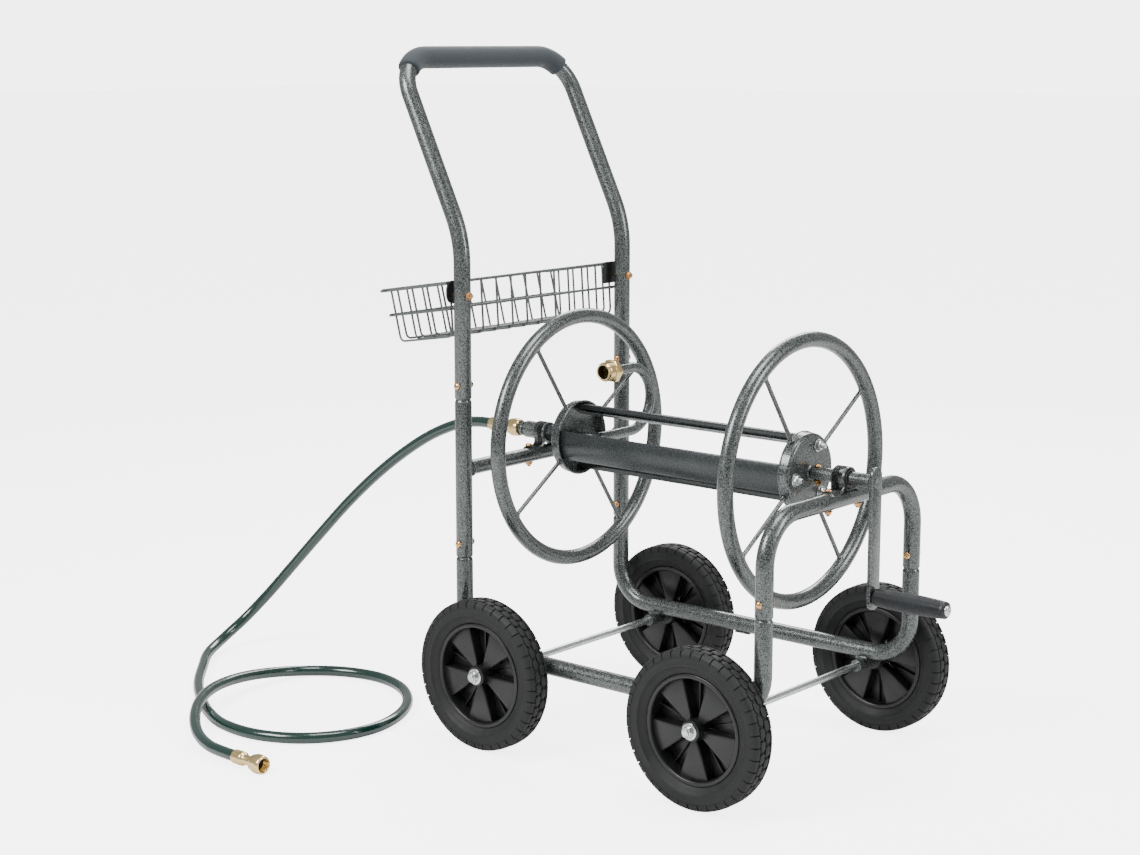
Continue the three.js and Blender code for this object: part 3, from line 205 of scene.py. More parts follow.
def make_hammered():
    """Hammered paint: pale flecks in a dark ground, with a rolling surface."""
    grey = (0.2, 0.2, 0.2, 1)
    inputs = [("Flecks", "NodeSocketFloat", 430.0), ("Dark", "NodeSocketColor", grey),
              ("Pale", "NodeSocketColor", grey), ("Relief", "NodeSocketFloat", 0.4)]
    outputs = [("Color", "NodeSocketColor"), ("Roughness", "NodeSocketFloat"), ("Normal", "NodeSocketVector")]
    tree, given, result = new_group("hammered_paint", inputs, outputs)
    places = object_places(tree)
    size = given.outputs["Flecks"]
    links = {"Vector": places, "Scale": size, "Detail": 2.5, "Roughness": 0.55, "Distortion": 0.9}
    flecks = node(tree, "ShaderNodeTexNoise", links).outputs["Fac"]
    cell_size = math_node(tree, "MULTIPLY", size, 0.8)
    links = {"Vector": places, "Scale": cell_size, "Randomness": 1.0}
    cells = node(tree, "ShaderNodeTexVoronoi", links, feature="F1").outputs["Distance"]
    mixed = math_node(tree, "ADD", flecks, math_node(tree, "MULTIPLY", cells, -0.22))
    mask = ramp(tree, mixed, 0.27, 0.50)
    links = {"Vector": places, "Scale": 24.0, "Detail": 2.0}
    drift = node(tree, "ShaderNodeTexNoise", links).outputs["Fac"]
    shade = math_node(tree, "ADD", math_node(tree, "MULTIPLY", drift, 0.5), 0.75)
    colour = blend_colours(tree, mask, given.outputs["Dark"], given.outputs["Pale"])
    shaded = node(tree, "ShaderNodeVectorMath", {0: colour, "Scale": shade}, operation="SCALE")
    rough = math_node(tree, "ADD", math_node(tree, "MULTIPLY", mask, 0.14), 0.2)
    links = {"Height": flecks, "Strength": given.outputs["Relief"], "Distance": 0.0006}
    bump = node(tree, "ShaderNodeBump", links)
    tree.links.new(shaded.outputs[0], result.inputs["Color"])
    tree.links.new(rough, result.inputs["Roughness"])
    tree.links.new(bump.outputs["Normal"], result.inputs["Normal"])
    return tree


def make_grain():
    """A fine grain that varies a colour a little, breaks up the gloss and roughens the surface."""
    grey = (0.2, 0.2, 0.2, 1)
    inputs = [("Color", "NodeSocketColor", grey), ("Grains", "NodeSocketFloat", 900.0),
              ("Variation", "NodeSocketFloat", 0.3), ("Gloss Low", "NodeSocketFloat", 0.4),
              ("Gloss High", "NodeSocketFloat", 0.6), ("Relief", "NodeSocketFloat", 0.2)]
    outputs = [("Color", "NodeSocketColor"), ("Roughness", "NodeSocketFloat"), ("Normal", "NodeSocketVector")]
    tree, given, result = new_group("fine_grain", inputs, outputs)
    places = object_places(tree)
    links = {"Vector": places, "Scale": given.outputs["Grains"], "Detail": 3.0, "Roughness": 0.6}
    grains = node(tree, "ShaderNodeTexNoise", links).outputs["Fac"]
    links = {"Vector": places, "Scale": 30.0, "Detail": 4.0, "Roughness": 0.6}
    patches = node(tree, "ShaderNodeTexNoise", links).outputs["Fac"]
    both = math_node(tree, "ADD", math_node(tree, "MULTIPLY", grains, 0.5),
                     math_node(tree, "MULTIPLY", patches, 0.5))
    swing = math_node(tree, "MULTIPLY", math_node(tree, "SUBTRACT", both, 0.5), 2.0)
    share = math_node(tree, "ADD", math_node(tree, "MULTIPLY", swing, given.outputs["Variation"]), 1.0)
    links = {0: given.outputs["Color"], "Scale": share}
    shaded = node(tree, "ShaderNodeVectorMath", links, operation="SCALE")
    links = {"Value": patches, "From Min": 0.3, "From Max": 0.7,
             "To Min": given.outputs["Gloss Low"], "To Max": given.outputs["Gloss High"]}
    rough = node(tree, "ShaderNodeMapRange", links).outputs["Result"]
    links = {"Height": grains, "Strength": given.outputs["Relief"], "Distance": 0.0003}
    bump = node(tree, "ShaderNodeBump", links)
    tree.links.new(shaded.outputs[0], result.inputs["Color"])
    tree.links.new(rough, result.inputs["Roughness"])
    tree.links.new(bump.outputs["Normal"], result.inputs["Normal"])
    return tree


def make_tarnish():
    """Patches of a second tone on bare or plated metal, with fine scratches in the gloss."""
    grey = (0.2, 0.2, 0.2, 1)
    inputs = [("Clean", "NodeSocketColor", grey), ("Tarnished", "NodeSocketColor", grey),
              ("Patches", "NodeSocketFloat", 120.0), ("Amount", "NodeSocketFloat", 0.5),
              ("Roughness", "NodeSocketFloat", 0.25)]
    outputs = [("Color", "NodeSocketColor"), ("Roughness", "NodeSocketFloat"), ("Normal", "NodeSocketVector")]
    tree, given, result = new_group("metal_tarnish", inputs, outputs)
    places = object_places(tree)
    links = {"Vector": places, "Scale": given.outputs["Patches"], "Detail": 3.0, "Distortion": 0.5}
    patches = node(tree, "ShaderNodeTexNoise", links).outputs["Fac"]
    mask = math_node(tree, "MULTIPLY", ramp(tree, patches, 0.38, 0.66), given.outputs["Amount"])
    colour = blend_colours(tree, mask, given.outputs["Clean"], given.outputs["Tarnished"])
    links = {"Vector": places, "Scale": 1500.0, "Detail": 2.0}
    scratches = node(tree, "ShaderNodeTexNoise", links).outputs["Fac"]
    spread = math_node(tree, "MULTIPLY", math_node(tree, "SUBTRACT", scratches, 0.5), 0.2)
    rough = math_node(tree, "ADD", given.outputs["Roughness"], spread)
    bump = node(tree, "ShaderNodeBump", {"Height": scratches, "Strength": 0.08, "Distance": 0.0002})
    tree.links.new(colour, result.inputs["Color"])
    tree.links.new(rough, result.inputs["Roughness"])
    tree.links.new(bump.outputs["Normal"], result.inputs["Normal"])
    return tree


def make_dust():
    """Dry dust that gathers on what faces up."""
    grey = (0.2, 0.2, 0.2, 1)
    inputs = [("Color", "NodeSocketColor", grey), ("Dust", "NodeSocketColor", grey),
              ("Amount", "NodeSocketFloat", 0.3)]
    tree, given, result = new_group("settled_dust", inputs, [("Color", "NodeSocketColor")])
    normal = tree.nodes.new("ShaderNodeNewGeometry").outputs["Normal"]
    facing = node(tree, "ShaderNodeSeparateXYZ", {0: normal})
    up = ramp(tree, facing.outputs["Z"], -0.3, 1.0)
    links = {"Vector": object_places(tree), "Scale": 60.0, "Detail": 5.0, "Roughness": 0.7}
    patches = ramp(tree, node(tree, "ShaderNodeTexNoise", links).outputs["Fac"], 0.35, 0.75)
    mask = math_node(tree, "MULTIPLY", math_node(tree, "MULTIPLY", up, patches), given.outputs["Amount"])
    colour = blend_colours(tree, mask, given.outputs["Color"], given.outputs["Dust"])
    tree.links.new(colour, result.inputs["Color"])
    return tree


HAMMERED = make_hammered()
GRAIN = make_grain()
TARNISH = make_tarnish()
DUST = make_dust()


# ---------------------------------------------------------------- materials
def new_material(name, **sockets):
    """A material with its plain values set on the shader."""
    material = bpy.data.materials.new(name)
    material.use_nodes = True
    tree = material.node_tree
    shader = tree.nodes["Principled BSDF"]
    for socket, value in sockets.items():
        shader.inputs[socket.replace("_", " ")].default_value = value
    return material, tree, shader


def use_effect(tree, shader, effect, **values):
    """Places an effect and feeds the shader from its outputs."""
    made = tree.nodes.new("ShaderNodeGroup")
    made.node_tree = effect
    for socket, value in values.items():
        made.inputs[socket.replace("_", " ")].default_value = value
    for output, socket in (("Color", "Base Color"), ("Roughness", "Roughness"), ("Normal", "Normal")):
        if output in made.outputs:
            tree.links.new(made.outputs[output], shader.inputs[socket])
    return made


def hammertone():
    material, tree, shader = new_material("hammertone_paint", Metallic=0.6, Coat_Weight=0.65,
                                          Coat_Roughness=0.09)
    use_effect(tree, shader, HAMMERED, Flecks=560.0, Dark=(0.020, 0.025, 0.027, 1),
               Pale=(0.160, 0.178, 0.170, 1), Relief=0.5)
    return material


def smooth_paint():
    material, tree, shader = new_material("smooth_paint", Metallic=0.35, Coat_Weight=0.1, Coat_Roughness=0.3)
    use_effect(tree, shader, HAMMERED, Flecks=800.0, Dark=(0.022, 0.026, 0.028, 1),
               Pale=(0.052, 0.059, 0.060, 1), Relief=0.18)
    return material


def black_paint():
    material, tree, shader = new_material("black_paint", Metallic=0.1)
    use_effect(tree, shader, GRAIN, Color=(0.010, 0.011, 0.012, 1), Grains=900.0, Variation=0.35,
               Gloss_Low=0.35, Gloss_High=0.5, Relief=0.15)
    return material


def foam_skin():
    material, tree, shader = new_material("foam_skin", Specular_IOR_Level=0.3, Sheen_Weight=0.25,
                                          Sheen_Roughness=0.5)
    use_effect(tree, shader, GRAIN, Color=(0.034, 0.043, 0.050, 1), Grains=1400.0, Variation=0.45,
               Gloss_Low=0.72, Gloss_High=0.9, Relief=0.55)
    return material


def tyre_rubber():
    material, tree, shader = new_material("tyre_rubber", Specular_IOR_Level=0.32)
    grain = use_effect(tree, shader, GRAIN, Color=(0.0125, 0.0132, 0.0135, 1), Grains=700.0, Variation=0.3,
                       Gloss_Low=0.48, Gloss_High=0.66, Relief=0.25)
    dust = tree.nodes.new("ShaderNodeGroup")
    dust.node_tree = DUST
    dust.inputs["Dust"].default_value = (0.06, 0.06, 0.058, 1)
    dust.inputs["Amount"].default_value = 0.22
    tree.links.new(grain.outputs["Color"], dust.inputs["Color"])
    tree.links.new(dust.outputs["Color"], shader.inputs["Base Color"])
    return material


def moulded_plastic():
    material, tree, shader = new_material("moulded_plastic", Specular_IOR_Level=0.5)
    use_effect(tree, shader, GRAIN, Color=(0.0085, 0.0088, 0.009, 1), Grains=1200.0, Variation=0.3,
               Gloss_Low=0.28, Gloss_High=0.42, Relief=0.1)
    return material


def grip_plastic():
    material, tree, shader = new_material("grip_plastic", Specular_IOR_Level=0.5)
    use_effect(tree, shader, GRAIN, Color=(0.0065, 0.0088, 0.0115, 1), Grains=1500.0, Variation=0.35,
               Gloss_Low=0.34, Gloss_High=0.5, Relief=0.2)
    return material


def bright_zinc():
    material, tree, shader = new_material("bright_zinc", Metallic=1.0)
    use_effect(tree, shader, TARNISH, Clean=(0.78, 0.80, 0.80, 1), Tarnished=(0.50, 0.54, 0.55, 1),
               Patches=160.0, Amount=0.5, Roughness=0.26)
    return material


def gold_zinc():
    material, tree, shader = new_material("gold_zinc", Metallic=1.0)
    use_effect(tree, shader, TARNISH, Clean=(0.80, 0.50, 0.20, 1), Tarnished=(0.62, 0.27, 0.16, 1),
               Patches=260.0, Amount=0.9, Roughness=0.24)
    return material


def brass():
    material, tree, shader = new_material("turned_brass", Metallic=1.0)
    use_effect(tree, shader, TARNISH, Clean=(0.88, 0.67, 0.34, 1), Tarnished=(0.66, 0.44, 0.17, 1),
               Patches=110.0, Amount=0.45, Roughness=0.24)
    return material


# Painted shade: a brass far darker than the turned brass, used only for the cup just inside the outlet's
# bore, where shade falls.
def bore_shade_brass():
    material, tree, shader = new_material("bore_shade_brass", Metallic=0.7)
    use_effect(tree, shader, TARNISH, Clean=(0.075, 0.052, 0.034, 1), Tarnished=(0.036, 0.027, 0.020, 1),
               Patches=200.0, Amount=0.7, Roughness=0.5)
    return material


def hose_vinyl():
    material, tree, shader = new_material("hose_vinyl", Coat_Weight=0.75, Coat_Roughness=0.05,
                                          Specular_IOR_Level=0.55)
    use_effect(tree, shader, GRAIN, Color=(0.0015, 0.025, 0.0185, 1), Grains=500.0, Variation=0.3,
               Gloss_Low=0.15, Gloss_High=0.25, Relief=0.05)
    return material


def dipped_wire():
    material, tree, shader = new_material("dipped_wire", Metallic=0.25, Specular_IOR_Level=0.5)
    use_effect(tree, shader, GRAIN, Color=(0.098, 0.108, 0.106, 1), Grains=800.0, Variation=0.5,
               Gloss_Low=0.32, Gloss_High=0.5, Relief=0.3)
    return material


def seal_rubber():
    material, tree, shader = new_material("seal_rubber", Specular_IOR_Level=0.4)
    use_effect(tree, shader, GRAIN, Color=(0.012, 0.012, 0.012, 1), Grains=1200.0, Variation=0.3,
               Gloss_Low=0.5, Gloss_High=0.65, Relief=0.2)
    return material


# Each finish with the record's slot that it belongs to.
FINISHES = {
    "hammertone": (hammertone(), "hammertone_paint"),
    "smooth_paint": (smooth_paint(), "smooth_paint"),
    "black_paint": (black_paint(), "basket_wire"),
    "foam": (foam_skin(), "foam"),
    "rubber": (tyre_rubber(), "tyre_rubber"),
    "plastic": (moulded_plastic(), "black_plastic"),
    "grip": (grip_plastic(), "grip_plastic"),
    "zinc": (bright_zinc(), "zinc"),
    "gold": (gold_zinc(), "gold_zinc"),
    "brass": (brass(), "brass"),
    # painted shade for the inside of the outlet's bore
    "bore_shade_brass": (bore_shade_brass(), "brass"),
    "vinyl": (hose_vinyl(), "hose_vinyl"),
    "wire": (dipped_wire(), "basket_wire"),
    "seal": (seal_rubber(), "seal_rubber"),
}


# ---------------------------------------------------------------- shapes
def ring_edges(points):
    """The edges that join a ring's own points."""
    own = set(points)
    near = dict.fromkeys(edge for point in points for edge in point.link_edges)
    return [edge for edge in near if edge.verts[0] in own and edge.verts[1] in own]


def make_ring(shape, place, along, radius, sides):
    turn = along.to_track_quat("Z", "Y").to_matrix().to_4x4()
    matrix = Matrix.Translation(place) @ turn
    return bmesh.ops.create_circle(shape, segments=sides, radius=radius, matrix=matrix)["verts"]


def pull(shape, points, shift):
    """Extrudes a ring by a shift, and gives the new ring."""
    made = bmesh.ops.extrude_edge_only(shape, edges=ring_edges(points))["geom"]
    new = [item for item in made if isinstance(item, bmesh.types.BMVert)]
    bmesh.ops.translate(shape, verts=new, vec=shift)
    return new


def widen(shape, points, share):
    middle_point = sum((point.co for point in points), Vector()) / len(points)
    bmesh.ops.scale(shape, verts=points, vec=(share,) * 3, space=Matrix.Translation(-middle_point))


def turn_ring(shape, points, centre, axis, angle, steps):
    """Carries a ring round a bend."""
    given = list(points) + ring_edges(points)
    made = bmesh.ops.spin(shape, geom=given, cent=centre, axis=axis, angle=angle, steps=steps,
                          use_duplicate=False)
    return [item for item in made["geom_last"] if isinstance(item, bmesh.types.BMVert)]


def close_ring(shape, points):
    bmesh.ops.contextual_create(shape, geom=ring_edges(points))


def bent_tube(corners, bends, radius, sides=24, ends=(PLAIN_END, PLAIN_END), step=5):
    """A round tube of straight runs and round bends. Each end is a list of rings, from its tip inwards."""
    shape = bmesh.new()
    corners = [Vector(corner) for corner in corners]
    along = (corners[1] - corners[0]).normalized()
    distance, share = ends[0][0]
    place = corners[0] - along * distance
    ring = make_ring(shape, place, along, radius * share, sides)
    close_ring(shape, ring)
    for nearer, wider in ends[0][1:]:
        ring = pull(shape, ring, along * (distance - nearer))
        widen(shape, ring, wider / share)
        distance, share = nearer, wider
    place = corners[0] - along * distance
    for corner, after, bend in zip(corners[1:-1], corners[2:], bends):
        ahead = (after - corner).normalized()
        turn = along.angle(ahead)
        reach = bend * math.tan(turn / 2)
        start = corner - along * reach
        ring = pull(shape, ring, start - place)
        axis = along.cross(ahead).normalized()
        steps = max(3, round(math.degrees(turn) / step))
        ring = turn_ring(shape, ring, start + axis.cross(along) * bend, axis, turn, steps)
        place = corner + ahead * reach
        along = ahead
    distance, share = ends[1][-1]
    ring = pull(shape, ring, corners[-1] + along * distance - place)
    for further, narrower in reversed(ends[1][:-1]):
        ring = pull(shape, ring, along * (further - distance))
        widen(shape, ring, narrower / share)
        distance, share = further, narrower
    close_ring(shape, ring)
    return shape


def arc(centre, radius, start, end, steps):
    """Points of a round stretch in the plane of radius and height, with angles in degrees."""
    points = []
    for i in range(steps + 1):
        angle = math.radians(start + (end - start) * i / steps)
        points.append((centre[0] + radius * math.cos(angle), centre[1] + radius * math.sin(angle)))
    return points


def turned(profile, place, along, steps=48, closed=False):
    """A piece turned about an axis. The profile lists radius and height in turn."""
    shape = bmesh.new()
    along = Vector(along).normalized()
    matrix = Matrix.Translation(place) @ along.to_track_quat("Z", "Y").to_matrix().to_4x4()
    points = [shape.verts.new(matrix @ Vector((radius, 0, height))) for radius, height in profile]
    edges = [shape.edges.new(pair) for pair in zip(points, points[1:])]
    if closed:
        edges.append(shape.edges.new((points[-1], points[0])))
    bmesh.ops.spin(shape, geom=points + edges, cent=place, axis=along, angle=math.tau, steps=steps,
                   use_merge=True)
    bmesh.ops.remove_doubles(shape, verts=shape.verts, dist=1e-6)
    return shape


def block(low, high, bevel=0.0008):
    """A box with softened edges."""
    shape = bmesh.new()
    low, high = Vector(low), Vector(high)
    size = Matrix.Diagonal((*(high - low), 1))
    bmesh.ops.create_cube(shape, size=1, matrix=Matrix.Translation((low + high) / 2) @ size)
    soften(shape, shape.edges[:], bevel)
    return shape


def soften(shape, edges, offset, segments=2):
    bmesh.ops.bevel(shape, geom=edges, offset=offset, offset_type="OFFSET", segments=segments,
                    profile=0.5, affect="EDGES", material=-1)


def sharp_edges(shape, degrees=40):
    limit = math.radians(degrees)
    return [edge for edge in shape.edges if edge.is_manifold and edge.calc_face_angle(0) > limit]


def outline(shape, runs):
    """A closed line in the plane. A run is a point to go to, or (centre, degrees, steps) to go round."""
    tip = shape.verts.new((*runs[0], 0))
    first = tip
    for run in runs[1:]:
        if len(run) == 3:
            centre, degrees, steps = run
            made = bmesh.ops.spin(shape, geom=[tip], cent=(*centre, 0), axis=(0, 0, 1),
                                  angle=math.radians(degrees), steps=steps, use_duplicate=False)
            tip = [item for item in made["geom_last"] if isinstance(item, bmesh.types.BMVert)][0]
        else:
            new = shape.verts.new((*run, 0))
            shape.edges.new((tip, new))
            tip = new
    if (tip.co - first.co).length > 1e-6:
        shape.edges.new((tip, first))
    bmesh.ops.remove_doubles(shape, verts=shape.verts, dist=1e-6)


def flat_plate(runs, thickness, matrix, bevel=0.0006):
    """A plate cut to an outline and given a thickness, then put in its place."""
    shape = bmesh.new()
    outline(shape, runs)
    bmesh.ops.contextual_create(shape, geom=shape.edges[:])
    made = bmesh.ops.extrude_face_region(shape, geom=shape.faces[:])["geom"]
    top = [item for item in made if isinstance(item, bmesh.types.BMVert)]
    bmesh.ops.translate(shape, verts=top, vec=(0, 0, thickness))
    bmesh.ops.recalc_face_normals(shape, faces=shape.faces)
    soften(shape, sharp_edges(shape, 50), bevel)
    bmesh.ops.transform(shape, verts=shape.verts, matrix=matrix)
    return shape


def weld_bead(place, along, radius, size=0.0022, steps=40, waves=11):
    """A bead of weld round a bar, a little uneven as a hand leaves it."""
    profile = arc((radius, 0), size, 0, 315, 7)
    shape = turned(profile, place, along, steps, closed=True)
    along = Vector(along).normalized()
    for point in shape.verts:
        out = point.co - Vector(place)
        side = out - along * out.dot(along)
        turn = math.atan2(side.cross(along.orthogonal()).dot(along), side.dot(along.orthogonal()))
        point.co += side.normalized() * size * 0.14 * math.sin(waves * turn)
    return shape


def screw_thread(radius, start, end, pitch, depth):
    """The profile of a thread as even ridges."""
    points = []
    count = max(1, round((end - start) / pitch))
    for i in range(count):
        height = start + (end - start) * i / count
        points += [(radius - depth, height), (radius, height + pitch * 0.35), (radius, height + pitch * 0.6)]
    return points


def make_piece(name, shapes, finish, body, nodes=(), crease=38):
    """Joins shapes to one finished piece, which rides on a body and stands for CAD nodes."""
    mesh = bpy.data.meshes.new(name)
    whole = bmesh.new()
    for shape in shapes:
        bmesh.ops.remove_doubles(shape, verts=shape.verts, dist=1e-6)
        bmesh.ops.recalc_face_normals(shape, faces=shape.faces)
        shape.to_mesh(mesh)
        shape.free()
        whole.from_mesh(mesh)
    whole.to_mesh(mesh)
    whole.free()
    mesh.polygons.foreach_set("use_smooth", [True] * len(mesh.polygons))
    mesh.set_sharp_from_angle(angle=math.radians(crease))
    material, slot = FINISHES[finish]
    mesh.materials.append(material)
    made = bpy.data.objects.new(name, mesh)
    bpy.context.scene.collection.objects.link(made)
    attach(made, body)
    if nodes:
        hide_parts(*nodes)
    return made


def copied(shape, matrix):
    """A copy of a shape, moved."""
    twin = shape.copy()
    bmesh.ops.transform(twin, verts=twin.verts, matrix=matrix)
    return twin


def repeated(shape, count, axis, place=(0, 0, 0)):
    """Repeats a shape evenly round an axis, in the same mesh."""
    given = shape.verts[:] + shape.edges[:] + shape.faces[:]
    for i in range(1, count):
        made = bmesh.ops.duplicate(shape, geom=given)["geom"]
        new = [item for item in made if isinstance(item, bmesh.types.BMVert)]
        turn = Matrix.Rotation(math.tau * i / count, 3, axis)
        bmesh.ops.rotate(shape, verts=new, cent=place, matrix=turn)
    return shape


def facing(place, right, up):
    """The placing of a flat drawing: its x to the right, its y up, and its thickness towards the viewer."""
    right, up = Vector(right), Vector(up)
    turn = Matrix((right, up, right.cross(up))).transposed().to_4x4()
    return Matrix.Translation(place) @ turn


# ---------------------------------------------------------------- camera and light
def add_camera():
    camera = bpy.data.cameras.new("camera")
    camera.lens = 67.89
    camera.sensor_width = 36
    made = bpy.data.objects.new("camera", camera)
    made.location = (2.0701, -2.7387, 1.1415)
    made.rotation_euler = (math.radians(79.81), 0, math.radians(40.37))
    bpy.context.scene.collection.objects.link(made)
    bpy.context.scene.camera = made


def add_light(name, place, target, size, power, tint=(1, 1, 1)):
    light = bpy.data.lights.new(name, "AREA")
    light.shape = "RECTANGLE"
    light.size, light.size_y = size
    light.energy = power
    light.color = tint
    made = bpy.data.objects.new(name, light)
    made.location = place
    made.rotation_euler = (Vector(target) - Vector(place)).to_track_quat("-Z", "Y").to_euler()
    bpy.context.scene.collection.objects.link(made)


def add_studio():
    """A white backdrop that the camera sees, a softer light for the object, and four soft lamps."""
    world = bpy.data.worlds.new("studio")
    world.use_nodes = True
    tree = world.node_tree
    backdrop = tree.nodes["Background"]
    backdrop.inputs["Strength"].default_value = BACKDROP
    ambient = node(tree, "ShaderNodeBackground", {"Strength": AMBIENT})
    for shader in (backdrop, ambient):
        shader.inputs["Color"].default_value = (1.0, 1.0, 1.0, 1)
    seen = node(tree, "ShaderNodeLightPath").outputs["Is Camera Ray"]
    both = node(tree, "ShaderNodeMixShader", {0: seen, 1: ambient.outputs[0], 2: backdrop.outputs[0]})
    tree.links.new(both.outputs[0], tree.nodes["World Output"].inputs["Surface"])
    bpy.context.scene.world = world
    add_light("key", (-0.9, -2.7, 2.5), (0, 0, 0.45), (1.5, 1.3), 120)
    add_light("side", (3.0, 0.9, 1.9), (0, 0, 0.5), (0.8, 1.8), 60)
    add_light("back", (-1.6, 2.4, 2.4), (0, 0, 0.5), (1.8, 1.0), 60)
    add_light("top", (0.2, -0.2, 3.2), (0, 0, 0), (1.4, 1.4), 60)
    shape = bmesh.new()
    bmesh.ops.create_grid(shape, x_segments=1, y_segments=1, size=40)
    mesh = bpy.data.meshes.new("floor")
    shape.to_mesh(mesh)
    shape.free()
    material, tree, shader = new_material("studio_floor", Roughness=0.8, Specular_IOR_Level=0.1)
    shader.inputs["Base Color"].default_value = (0.93, 0.93, 0.925, 1)
    shader.inputs["Emission Color"].default_value = (1, 1, 1, 1)
    seen = node(tree, "ShaderNodeLightPath").outputs["Is Camera Ray"]
    glow = math_node(tree, "MULTIPLY", seen, FLOOR_GLOW)
    tree.links.new(glow, shader.inputs["Emission Strength"])
    mesh.materials.append(material)
    floor = bpy.data.objects.new("floor", mesh)
    bpy.context.scene.collection.objects.link(floor)


# ---------------------------------------------------------------- hose
def smooth_route(points, steps):
    """A centripetal spline through the points, as many even steps of each stretch."""
    given = [Vector(point) for point in points]
    given = [given[0] * 2 - given[1], *given, given[-1] * 2 - given[-2]]
    route = []
    for i in range(1, len(given) - 2):
        a, b, c, d = given[i - 1:i + 3]
        ab, bc, cd = ((q - p).length ** 0.5 for p, q in ((a, b), (b, c), (c, d)))
        start = ((b - a) / ab - (c - a) / (ab + bc) + (c - b) / bc) * bc
        end = ((c - b) / bc - (d - b) / (bc + cd) + (d - c) / cd) * bc
        for k in range(steps):
            t = k / steps
            rest = (2 * t ** 3 - 3 * t ** 2 + 1) * b + (3 * t ** 2 - 2 * t ** 3) * c
            route.append(rest + (t ** 3 - 2 * t ** 2 + t) * start + (t ** 3 - t ** 2) * end)
    route.append(given[-2])
    return route


def add_hose():
    """The hose as a round tube along its route."""
    route = smooth_route(HOSE_ROUTE, 8)
    curve = bpy.data.curves.new("supply_hose_line", "CURVE")
    curve.dimensions = "3D"
    curve.bevel_depth = HOSE
    curve.bevel_resolution = 6
    curve.use_fill_caps = True
    line = curve.splines.new("POLY")
    line.points.add(len(route) - 1)
    for point, place in zip(line.points, route):
        point.co = (*place, 1)
    made = bpy.data.objects.new("supply_hose", curve)
    bpy.context.scene.collection.objects.link(made)
    material, slot = FINISHES["vinyl"]
    curve.materials.append(material)
    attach(made, "cart")
    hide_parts("garden_hose")
    return made


# ---------------------------------------------------------------- brass hose fittings
def ferrule(place, along):
    """The crimped sleeve on the hose's end and the plain tail that carries the coupling nut."""
    outside = 0.0115
    crimps = []
    for height in (0.0052, 0.0104, 0.0156):
        crimps += [(outside, height - 0.0016), (outside - 0.0008, height - 0.0009),
                   (outside - 0.0009, height + 0.0009), (outside, height + 0.0016)]
    profile = [(0.0050, 0.0), (0.0104, 0.0), (0.0112, 0.0004), (outside, 0.0014), *crimps,
               (outside, 0.0205), (0.0108, 0.0218), (0.0088, 0.0240), (0.0080, 0.0262),
               (0.0080, 0.0500), (0.0094, 0.0501), (0.0095, 0.0519), (0.0052, 0.0520), (0.0050, 0.0515)]
    return turned(profile, place, along, 48, closed=True)


def coupling_nut(place, along, start):
    """A nut with eight worn flats, a round collar behind them and a threaded socket in front."""
    place, along = Vector(place), Vector(along).normalized()
    socket = [(0.0109 + (0.0006 if i % 2 else 0.0), start + 0.0245 - i * 0.0011) for i in range(14)]
    profile = [(0.0083, start), (0.0116, start), (0.0131, start + 0.0012), (0.0136, start + 0.0040),
               (0.0146, start + 0.0062), (0.0155, start + 0.0080), (0.0155, start + 0.0190),
               (0.0149, start + 0.0215), (0.0143, start + 0.0240), (0.0136, start + 0.0254),
               (0.0128, start + 0.0260), (0.0116, start + 0.0260), *socket,
               (0.0108, start + 0.0064), (0.0083, start + 0.0060)]
    shape = turned(profile, place, along, 64, closed=True)
    flats = 8
    reach = 0.0146
    for point in shape.verts:
        out = point.co - place
        height = out.dot(along)
        side = out - along * height
        if side.length < 0.0141 or not 0.0060 < height - start < 0.0235:
            continue
        turn = math.atan2(side.dot(along.orthogonal().normalized().cross(along)),
                          side.dot(along.orthogonal().normalized()))
        off = (turn + math.pi / flats) % (math.tau / flats) - math.pi / flats
        limit = reach / math.cos(off)
        if side.length > limit:
            point.co -= side.normalized() * (side.length - limit)
    return shape


# ---------------------------------------------------------------- bolts and nuts
def hex_nut(place, along, corner, height, chamfer=0.0009):
    profile = [(0, 0), (corner - 1.4 * chamfer, 0), (corner, chamfer), (corner, height - chamfer),
               (corner - 1.4 * chamfer, height), (0, height)]
    return turned(profile, place, along, 6)


def carriage_bolt(place, along, grip):
    """A domed head at a place, and a nut and the thread's tip after the grip."""
    place, along = Vector(place), Vector(along)
    dome = [(0.0060 * math.cos(t), -0.0010 - 0.0031 * math.sin(t))
            for t in (math.radians(angle) for angle in (90, 72, 54, 36, 18, 0))]
    head = turned([*dome, (0.0060, -0.0001), (0.0056, 0.0003), (0, 0.0003)], place, along, 32)
    end = place + along * (grip + 0.0002)
    washer = turned([(0, 0), (0.0066, 0), (0.0068, 0.0002), (0.0068, 0.0008), (0.0066, 0.0010),
                     (0, 0.0010)], end, along, 32)
    nut = hex_nut(end + along * 0.0009, along, 0.0062, 0.0044)
    tip = turned([(0, 0), (0.0030, 0), *screw_thread(0.0030, 0.0004, 0.0034, 0.0010, 0.0004),
                  (0.0024, 0.0036), (0, 0.0038)], end + along * 0.0046, along, 20)
    return [head, washer, nut, tip]


